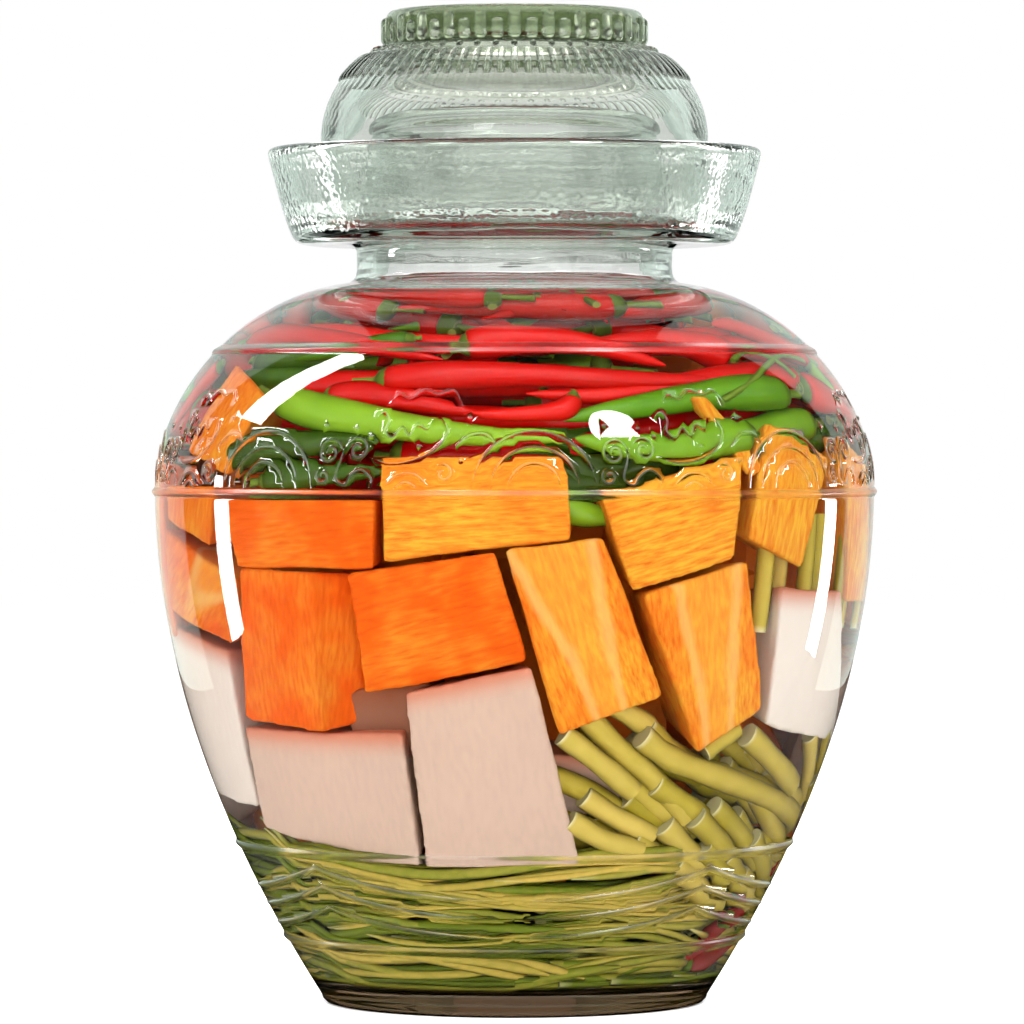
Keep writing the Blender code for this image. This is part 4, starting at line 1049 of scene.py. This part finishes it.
# %% The bed of long beans
def lock(rng, start, height, sweep, slope, strands):
    """Thin beans that lie side by side and rise and fall together round the wall."""
    made = []
    phase, wave = rng.uniform(0, 6.28), rng.uniform(1.8, 5.0)
    for strand in range(strands):
        thick = rng.uniform(1.1, 2.0)
        across, depth = rng.uniform(-3.4, 3.4), rng.uniform(0, 6.0)
        drift, begin = rng.uniform(-2.4, 2.4), start + rng.uniform(-14, 14)
        line, widths = [], []
        for k in range(33):
            share = k / 32
            rise = slope * (share - 0.5) + wave * sin(phase + share * sweep / 17) + drift * (share - 0.5)
            angle = (begin + sweep * share) % 360
            brim = 46.5 + 9 * smooth_step((angle - 258) / 10) * smooth_step((306 - angle) / 8)
            level = min(max((height * brim / 46.5) + across * (0.4 + share * 0.6) + rise, 5), brim)
            aside = (
                7 * smooth_step((angle - 34) / 14) * smooth_step((95 - angle) / 8)
                * max(smooth_step((level - 26) / 8), smooth_step((angle - 54) / 12))
            )
            point = in_jar(angle, level, thick + 0.1 + depth + aside + 0.8 * sin(phase + strand + share * 7))
            point.z = max(point.z, FLOOR + (thick + 0.3) * MM)
            line.append(point)
            widths.append(thick * MM * min(1, 0.25 + 9 * share, 0.25 + 9 * (1 - share)))
        # The tone turns yellower towards the right, varies at random, and falls with depth, which paints shade on
        # strands further from the glass.
        side = sin(radians(begin + sweep / 2))
        made.append((line, widths, 0.5 + 0.25 * side + rng.uniform(-0.5, 0.5) - 0.16 * depth))
    return made

rng = Random(11)
bed = []
for layer in range(17):
    height = 7.0 + layer * 2.4
    for part in range(4):
        bed += lock(rng, part * 90 + rng.uniform(0, 90), height, rng.uniform(90, 130), rng.uniform(-12, 12), 3)
for k in range(48):
    thick, start = rng.uniform(0.9, 1.3), k * 7.5 + rng.uniform(-4, 4)
    reach, level = 56.9 - thick - 4.5 * rng.random() ** 1.5, 8.5 + thick + 3.2 * rng.random()
    line = []
    for i in range(21):
        turn = radians(start + 3.4 * i)
        out = min(reach + 0.5 * sin(k + i * 0.7), 56.9 - thick)
        line.append(Vector((out * sin(turn), -out * cos(turn), level + 0.3 * (1 + sin(k * 2 + i * 0.5)))) * MM)
    # Strands low in the corner take tones mostly below zero, which paints shade on them.
    bed.append((line, [thick * MM] * 21, rng.uniform(-0.9, 0.1)))
piece("long_bean_strands", grown(paths("long_bean_strands", bed), stalks, Sides=7, Finish=long_bean), "crock",
    "bean_skin", instead_of=("bean_coil_1", "bean_coil_2"))
print("strands", len(bed))

# %% The nest inside the bed
rng = Random(12)
nest_lines = []
for k in range(90):
    height = rng.uniform(12, 44)
    reach = wall_radius(height * MM) / MM - 15
    turn, offset = rng.uniform(0, 2 * pi), rng.uniform(-0.75, 0.75) * reach
    half = (reach ** 2 - offset ** 2) ** 0.5
    line = []
    for i in range(13):
        share = i / 6 - 1
        x, y = share * half, offset + 3 * sin(share * 2 + turn)
        line.append(Vector((x * cos(turn) - y * sin(turn), x * sin(turn) + y * cos(turn),
            height + 2 * sin(share * 3 + k))) * MM)
    # The nest lies inside the bed, and its tone below zero paints shade on it.
    nest_lines.append((line, [2.6 * MM] * 13, -0.4))
piece("bean_nest_strands", grown(paths("bean_nest_strands", nest_lines), stalks, Sides=7, Finish=long_bean),
    "crock", "bean_skin", instead_of=("bean_nest",))
print("nest", len(nest_lines))

# %% The cut beans at the lower right
CUT_BEANS = [
    ([(8.6, 81.4), (16, 73), (23.6, 64.4)], 0), ([(12.8, 86.2), (20, 76), (28.4, 67), (38.4, 54.9)], 3.5),
    ([(18.7, 88.9), (22.5, 85), (26.7, 81.5)], 7),
    ([(24, 80.1), (29, 75), (35.5, 71), (52.9, 64), (81, 54.2)], 1.5),
    ([(25.7, 81.5), (32, 74.5), (40.4, 69.2), (66.1, 61.4)], 6), ([(20.1, 70.2), (29, 60), (38.9, 52)], 5),
    ([(28.6, 65.6), (36, 60), (43.7, 54.5)], 3), ([(39.4, 56.3), (46, 50.5), (52.3, 45.1)], 0),
    ([(44.1, 58.9), (56, 50), (68.2, 40.8)], 2), ([(32.5, 53.8), (40, 46.5), (47.9, 39.7)], 2),
    ([(47.4, 80.3), (58, 72), (70, 64)], 0), ([(38.2, 75.1), (41.5, 78.5), (45.2, 81.9)], 2),
    ([(53, 55), (62, 48), (72, 43)], 5), ([(58, 62), (70, 52), (80, 47)], 4), ([(11, 56), (19, 50), (28, 46.5)], 1),
    ([(14, 62), (22, 55.5), (31, 50)], 4), ([(60, 70), (72, 62), (84, 58)], 6), ([(26, 49), (34, 44), (42, 41)], 3),
    ([(44, 47), (50, 42), (56, 36.5)], 0), ([(53, 44), (60, 38.5), (67, 33)], 1),
    ([(60, 49), (68, 43), (77, 37)], 0),
    ([(38, 42), (45, 37), (51, 32)], 1.5), ([(62, 38), (69, 33.5), (76, 29)], 1),
    ([(33, 44), (41, 40), (48, 36)], 3),
    ([(47, 34), (54, 31), (61, 29)], 3), ([(70, 44), (77, 37), (84, 31)], 1),
    ([(74, 79), (80, 70), (86, 60)], 5), ([(82, 80), (86, 70), (91, 61)], 2), ([(84, 66), (89, 58), (94, 50)], 1),
    ([(68, 66), (78, 58), (88, 52)], 7),
]
beans = []
rng = Random(21)
for way, depth in CUT_BEANS:
    flat = eased(way, 6)
    thick = rng.uniform(3.3, 3.9)
    line = [in_jar(angle, height, thick + 0.1 + depth) for angle, height in flat]
    beans.append((line, [thick * MM * (0.97 + 0.05 * sin(k * 0.9)) for k in range(len(line))], rng.random()))
for k in range(26):
    start, height = rng.uniform(6, 74), rng.uniform(50, 88)
    if height < 96 - start * 0.35:
        way = eased([(start, height), (start + 9, height - rng.uniform(5, 9)),
            (start + 19, height - rng.uniform(10, 15))], 5)
        depth = rng.uniform(9, 17)
        line = [in_jar(angle, max(level, 47), depth) for angle, level in way]
        # These lie deeper, and tones partly below zero paint shade on some of them.
        beans.append((line, [3.5 * MM] * len(line), rng.uniform(-0.5, 0.4)))
for k, angle in enumerate((46, 52, 57, 63, 70, 76, 82)):
    line = [
        in_jar(angle + 1.2 * share, 110 + 34 * share, 6 + 5 * (k % 2) + 2 * share) for share in np.linspace(0, 1, 9)
    ]
    beans.append((line, [3.0 * MM] * 9, rng.random()))
piece("cut_beans", grown(paths("cut_beans", beans), stalks, Sides=14, Finish=cut_bean), "crock", "bean_skin",
    instead_of=tuple(f"cut_bean_{k}" for k in range(1, 8)))
print("cut beans", len(beans))

# %% [markdown]
# ## Chillies
# Fresh chillies are glossy and taut. Each has a thin green stem, a small green cap, a body that swells
# behind the cap and a pointed tip. The skin's colour varies a little along it, and its gloss is soft
# here because brine is nearly as dense as skin. The front ones follow the photograph, those round the
# back and inside are laid at random, and the lightest float up under the shoulder.

# %% Chilli skins
# The colour before the last number is painted shade, for the sides and for tones below zero.
red_skin = stalk_skin("fresh_red_chilli_skin", ("#D40A06", "#EC160C"), "#A81008", 0.2, 0.2, 9.0, "#80160A", 0.6)
green_skin = stalk_skin("fresh_green_chilli_skin", ("#5C9A14", "#98C62C"), "#3E6B10", 0.2, 0.2, 9.0, "#30360E", 0.6)
stem_skin = stalk_skin("chilli_stem_skin", ("#4C6A1A", "#86A036"), "#A9B25C", 0.4, 0.1, 4.0, "#1E2E08", 0.6)
print("finishes", red_skin.name, green_skin.name, stem_skin.name)

# %% A helper that draws one chilli
def chilli_body(share, widest):
    """Thickness along the body, from the cap to the tip."""
    swell = 0.80 + 0.20 * sin(pi * min(share * 2.2, 1) ** 0.8)
    return widest * max((1 - share ** 3) ** 0.72 * swell, 0.06)

def chilli(line, widest, tone):
    """A chilli's body, cap and stem as three paths. The line runs from stem to tip."""
    split = max(int((len(line) - 1) * 0.14), 2)
    body = line[split:]
    body_widths = [chilli_body(k / (len(body) - 1), widest * MM) for k in range(len(body))]
    body_widths[0] *= 0.72
    step = (body[1] - body[0]).normalized() * 1.2 * MM
    cap = [body[0] - step * 1.4, body[0] - step * 0.3, body[0] + step * 1.6, body[0] + step * 2.6]
    cap_widths = [0.34 * widest * MM, 0.66 * widest * MM, 0.86 * widest * MM, 0.7 * widest * MM]
    stem = line[: split] + [cap[0] + step * 0.4]
    stem_widths = [0.2 * widest * MM + 0.35 * MM * abs(1 - k / len(stem)) for k in range(len(stem))]
    return (body, body_widths, tone), (cap, cap_widths, 0.3), (stem, stem_widths, 0.7)

# %% The chillies along the wall
# Each is points (angle, height) from stem to tip, its widest radius, its depth, and at times its tone; a tone below
# zero paints shade on a chilli that lies in shade.
GREEN = [
    ([(-52.8, 182.9), (-37.3, 177), (-21.6, 172.9), (-8.1, 169.9), (8.2, 168.2)], 5.4, 0),
    ([(61.5, 181.2), (50.4, 182.3), (36.6, 181.8), (20.5, 178.2), (7.7, 174.7)], 5.6, 0),
    ([(47.3, 168.8), (38, 168.8), (26.9, 165.8), (17.3, 166.4), (10.1, 168.8)], 5.4, 0),
    ([(68.8, 173.5), (56.2, 173.5), (43.6, 171.7), (35.6, 169.4)], 4.8, 6),
    ([(-58.5, 160.3), (-46.1, 165), (-33, 167), (-22.9, 167.6)], 5.0, 0, -0.95),
    ([(-49.3, 153.8), (-39.5, 156.8), (-30.8, 158), (-21.8, 158)], 4.4, 3, -0.9),
    ([(-72, 184), (-60.3, 187.7), (-44.7, 190.4), (-30.7, 187.7)], 4.2, 8, -0.7),
    ([(-4, 157), (14, 155), (34, 158)], 5.4, 15, -1.0),
    ([(36, 166), (18, 162), (-2, 165)], 5.6, 14, -1.0), ([(4.5, 149.1), (13.6, 144.2), (22.9, 146.4)], 4.2, 7),
    ([(-70, 176), (-56, 172), (-40, 168)], 5.0, 9, -0.6),
    ([(-66, 193), (-50, 195), (-34, 193)], 4.6, 6, -0.8), ([(-20, 199), (-34, 196), (-48, 192)], 3.4, 2, -0.5),
    ([(73, 190), (76, 184), (80, 177)], 4.0, 1),
    ([(91, 173), (125, 164), (168, 170)], 6.0, 0), ([(180, 171), (220, 166), (262, 162)], 6.0, 0),
    ([(100, 184), (130, 178), (160, 180)], 5.4, 12), ([(200, 182), (235, 178), (268, 180)], 5.4, 12),
]
RED = [
    ([(-74, 195), (-60.4, 198.3), (-38.3, 197.5), (-14.1, 192.4)], 4.8, 0),
    ([(-13.1, 196.1), (-3.5, 198.5), (13.2, 197.9), (30.2, 190.8)], 5.4, 0),
    ([(49.5, 191.6), (46, 196.3), (34.9, 199.8), (15.6, 199.7)], 6.0, 3),
    ([(78.2, 190.8), (67.9, 196.1), (54.4, 199.2), (41.5, 199.4)], 5.2, 7),
    ([(80, 189), (68, 195), (58, 201), (50, 202)], 5.0, 0),
    ([(-31.1, 185.7), (-17.3, 187.7), (1.1, 188.3), (25.7, 186.4), (47.2, 185.9)], 4.6, 1),
    ([(76.9, 184.9), (54.2, 187.7), (36.3, 186.6), (17.1, 182.9), (2.1, 183.6)], 4.6, 3),
    ([(-39.3, 180.7), (-28.3, 182.6), (-16.3, 179.8), (-6.4, 176.9)], 4.2, 2.5),
    ([(10.5, 182.2), (8.6, 177), (1, 175.4), (-8.6, 175.3)], 3.2, 0),
    ([(62.6, 183.5), (68.9, 181.2), (78.8, 177), (86, 167.8)], 6.0, 0),
    ([(-73, 190), (-77, 182), (-82, 168)], 4.8, 0), ([(78, 191), (80, 186), (84, 181), (88, 176)], 4.4, 6),
    ([(-55.4, 184.9), (-38.8, 187.7), (-21.9, 190.6), (-5.9, 191.8)], 5.0, 8),
    ([(10.8, 191.8), (-3.4, 192.4), (-20, 189.6), (-35.6, 190.8)], 5.0, 10),
    ([(-66, 201), (-44.1, 202), (-18.4, 201), (1.6, 202)], 4.4, 7),
    ([(66, 201), (45.7, 202), (23, 201.6), (4.8, 202)], 4.4, 9),
    ([(-40, 176), (-22, 179), (-4, 180), (16, 178)], 5.0, 11),
    ([(60, 178), (42, 180), (24, 176), (10, 172)], 5.0, 13),
    ([(92, 188), (130, 182), (168, 185)], 5.4, 0), ([(178, 186), (215, 188), (248, 184)], 5.4, 0),
    ([(250, 199), (275, 201), (300, 199)], 5.0, 4), ([(100, 200), (130, 201), (160, 199)], 5.0, 3),
    ([(170, 200), (205, 201), (238, 199)], 5.0, 3),
]
print("chillies from the photograph and round the back", len(GREEN) + len(RED))

# %% More chillies inside, laid at random
rng = Random(31)
for k in range(96):
    middle, depth = rng.uniform(0, 360), rng.uniform(13, 56)
    height = rng.uniform(166, 186) if k < 36 else rng.uniform(186, 202)
    span = rng.uniform(34, 64) * rng.choice((-1, 1))
    way = [(middle - span / 2, height), (middle, min(height + rng.uniform(-4, 4), 203)),
        (middle + span / 2, min(height + rng.uniform(-5, 4), 203))]
    # The green ones inside take tones mostly below zero, which paints shade on them.
    (RED if k % 5 else GREEN).append((way, rng.uniform(4.6, 5.8), depth,
        rng.uniform(-0.9, 0.3) if k % 5 == 0 else rng.random()))
for k in range(34):
    middle, height, depth = rng.uniform(95, 265), rng.uniform(164, 202), rng.uniform(1, 12)
    way = [(middle - 25, height), (middle, min(height + rng.uniform(-4, 4), 202)),
        (middle + 25, min(height + rng.uniform(-4, 4), 202))]
    (RED if k % 5 else GREEN).append((way, rng.uniform(4.6, 5.6), depth))
# Three deep among the beans at the lower right; a tone of -1 paints shade on them.
RED += [
    ([(52, 12), (66, 18), (84, 34)], 4.4, 5, -1.0), ([(58, 10), (72, 12), (88, 19)], 4.4, 3, -1.0),
    ([(68, 22), (78, 30), (89, 42)], 4.0, 3, -1.0),
]

# %% Lay the paths of all of them
bodies = {"red": [], "green": []}
stems = []
for colour, rows in (("green", GREEN), ("red", RED)):
    for way, widest, depth, *tone in rows:
        line = [in_jar(a, h, depth + widest + 0.1) for a, h in eased(way, 12 if depth < 12 else 7)]
        body, cap, stem = chilli(line, widest, tone[0] if tone else rng.random())
        bodies[colour].append(body)
        stems += [cap, stem]
for way in ([(70, 189.5), (62, 191.5), (54, 188.5), (47, 184), (38, 178.5)],
        [(61, 185), (58, 190), (51, 193), (45, 190)]):
    line = [in_jar(a, h, 1.2) for a, h in eased(way, 5)]
    stems.append((line, [1.0 * MM] * len(line), 0.8))
for k in range(76):
    turn, middle, bow = rng.uniform(0, 2 * pi), rng.uniform(-50, 50), rng.uniform(-9, 9)
    half = (58 ** 2 - middle ** 2) ** 0.5 * rng.uniform(0.75, 1)
    level, widest = 172 + 28 * (k / 75) ** 0.7, rng.uniform(4.6, 5.6)
    line = []
    for i in range(13):
        x, y = half * (i / 6 - 1), middle * 0.9 + bow * (1 - (i / 6 - 1) ** 2)
        line.append(Vector((x * cos(turn) - y * sin(turn), x * sin(turn) + y * cos(turn), level)) * MM)
    colour = "green" if k % 9 == 4 else "red"
    body, cap, stem = chilli(line, widest, rng.random())
    bodies[colour].append(body)
    stems += [cap, stem]
piece("red_chillies", grown(paths("red_chillies", bodies["red"]), stalks, Sides=16, Finish=red_skin), "crock",
    "red_chilli_skin", instead_of=tuple(f"red_chilli_{k}" for k in range(1, 11)))
piece("green_chillies", grown(paths("green_chillies", bodies["green"]), stalks, Sides=16, Finish=green_skin),
    "crock", "green_chilli_skin", instead_of=tuple(f"green_chilli_{k}" for k in range(1, 7)))
piece("chilli_stems", grown(paths("chilli_stems", stems), stalks, Sides=12, Finish=stem_skin), "crock",
    "green_chilli_skin")
print("chillies", len(RED), "red", len(GREEN), "green")

# %% The stick of carrot among the chillies
stick = chunk("carrot_stick", [(31.5, 179, 0), (34.5, 180, 0), (45, 158, 3), (41, 156, 3)], (6, 0.95, 0), -20,
    (0, 30), 77, 1.0, 0.9)
piece("carrot_stick", stick, "crock", "carrot_flesh", carrot)
print("carrot stick", len(stick.polygons), "faces")
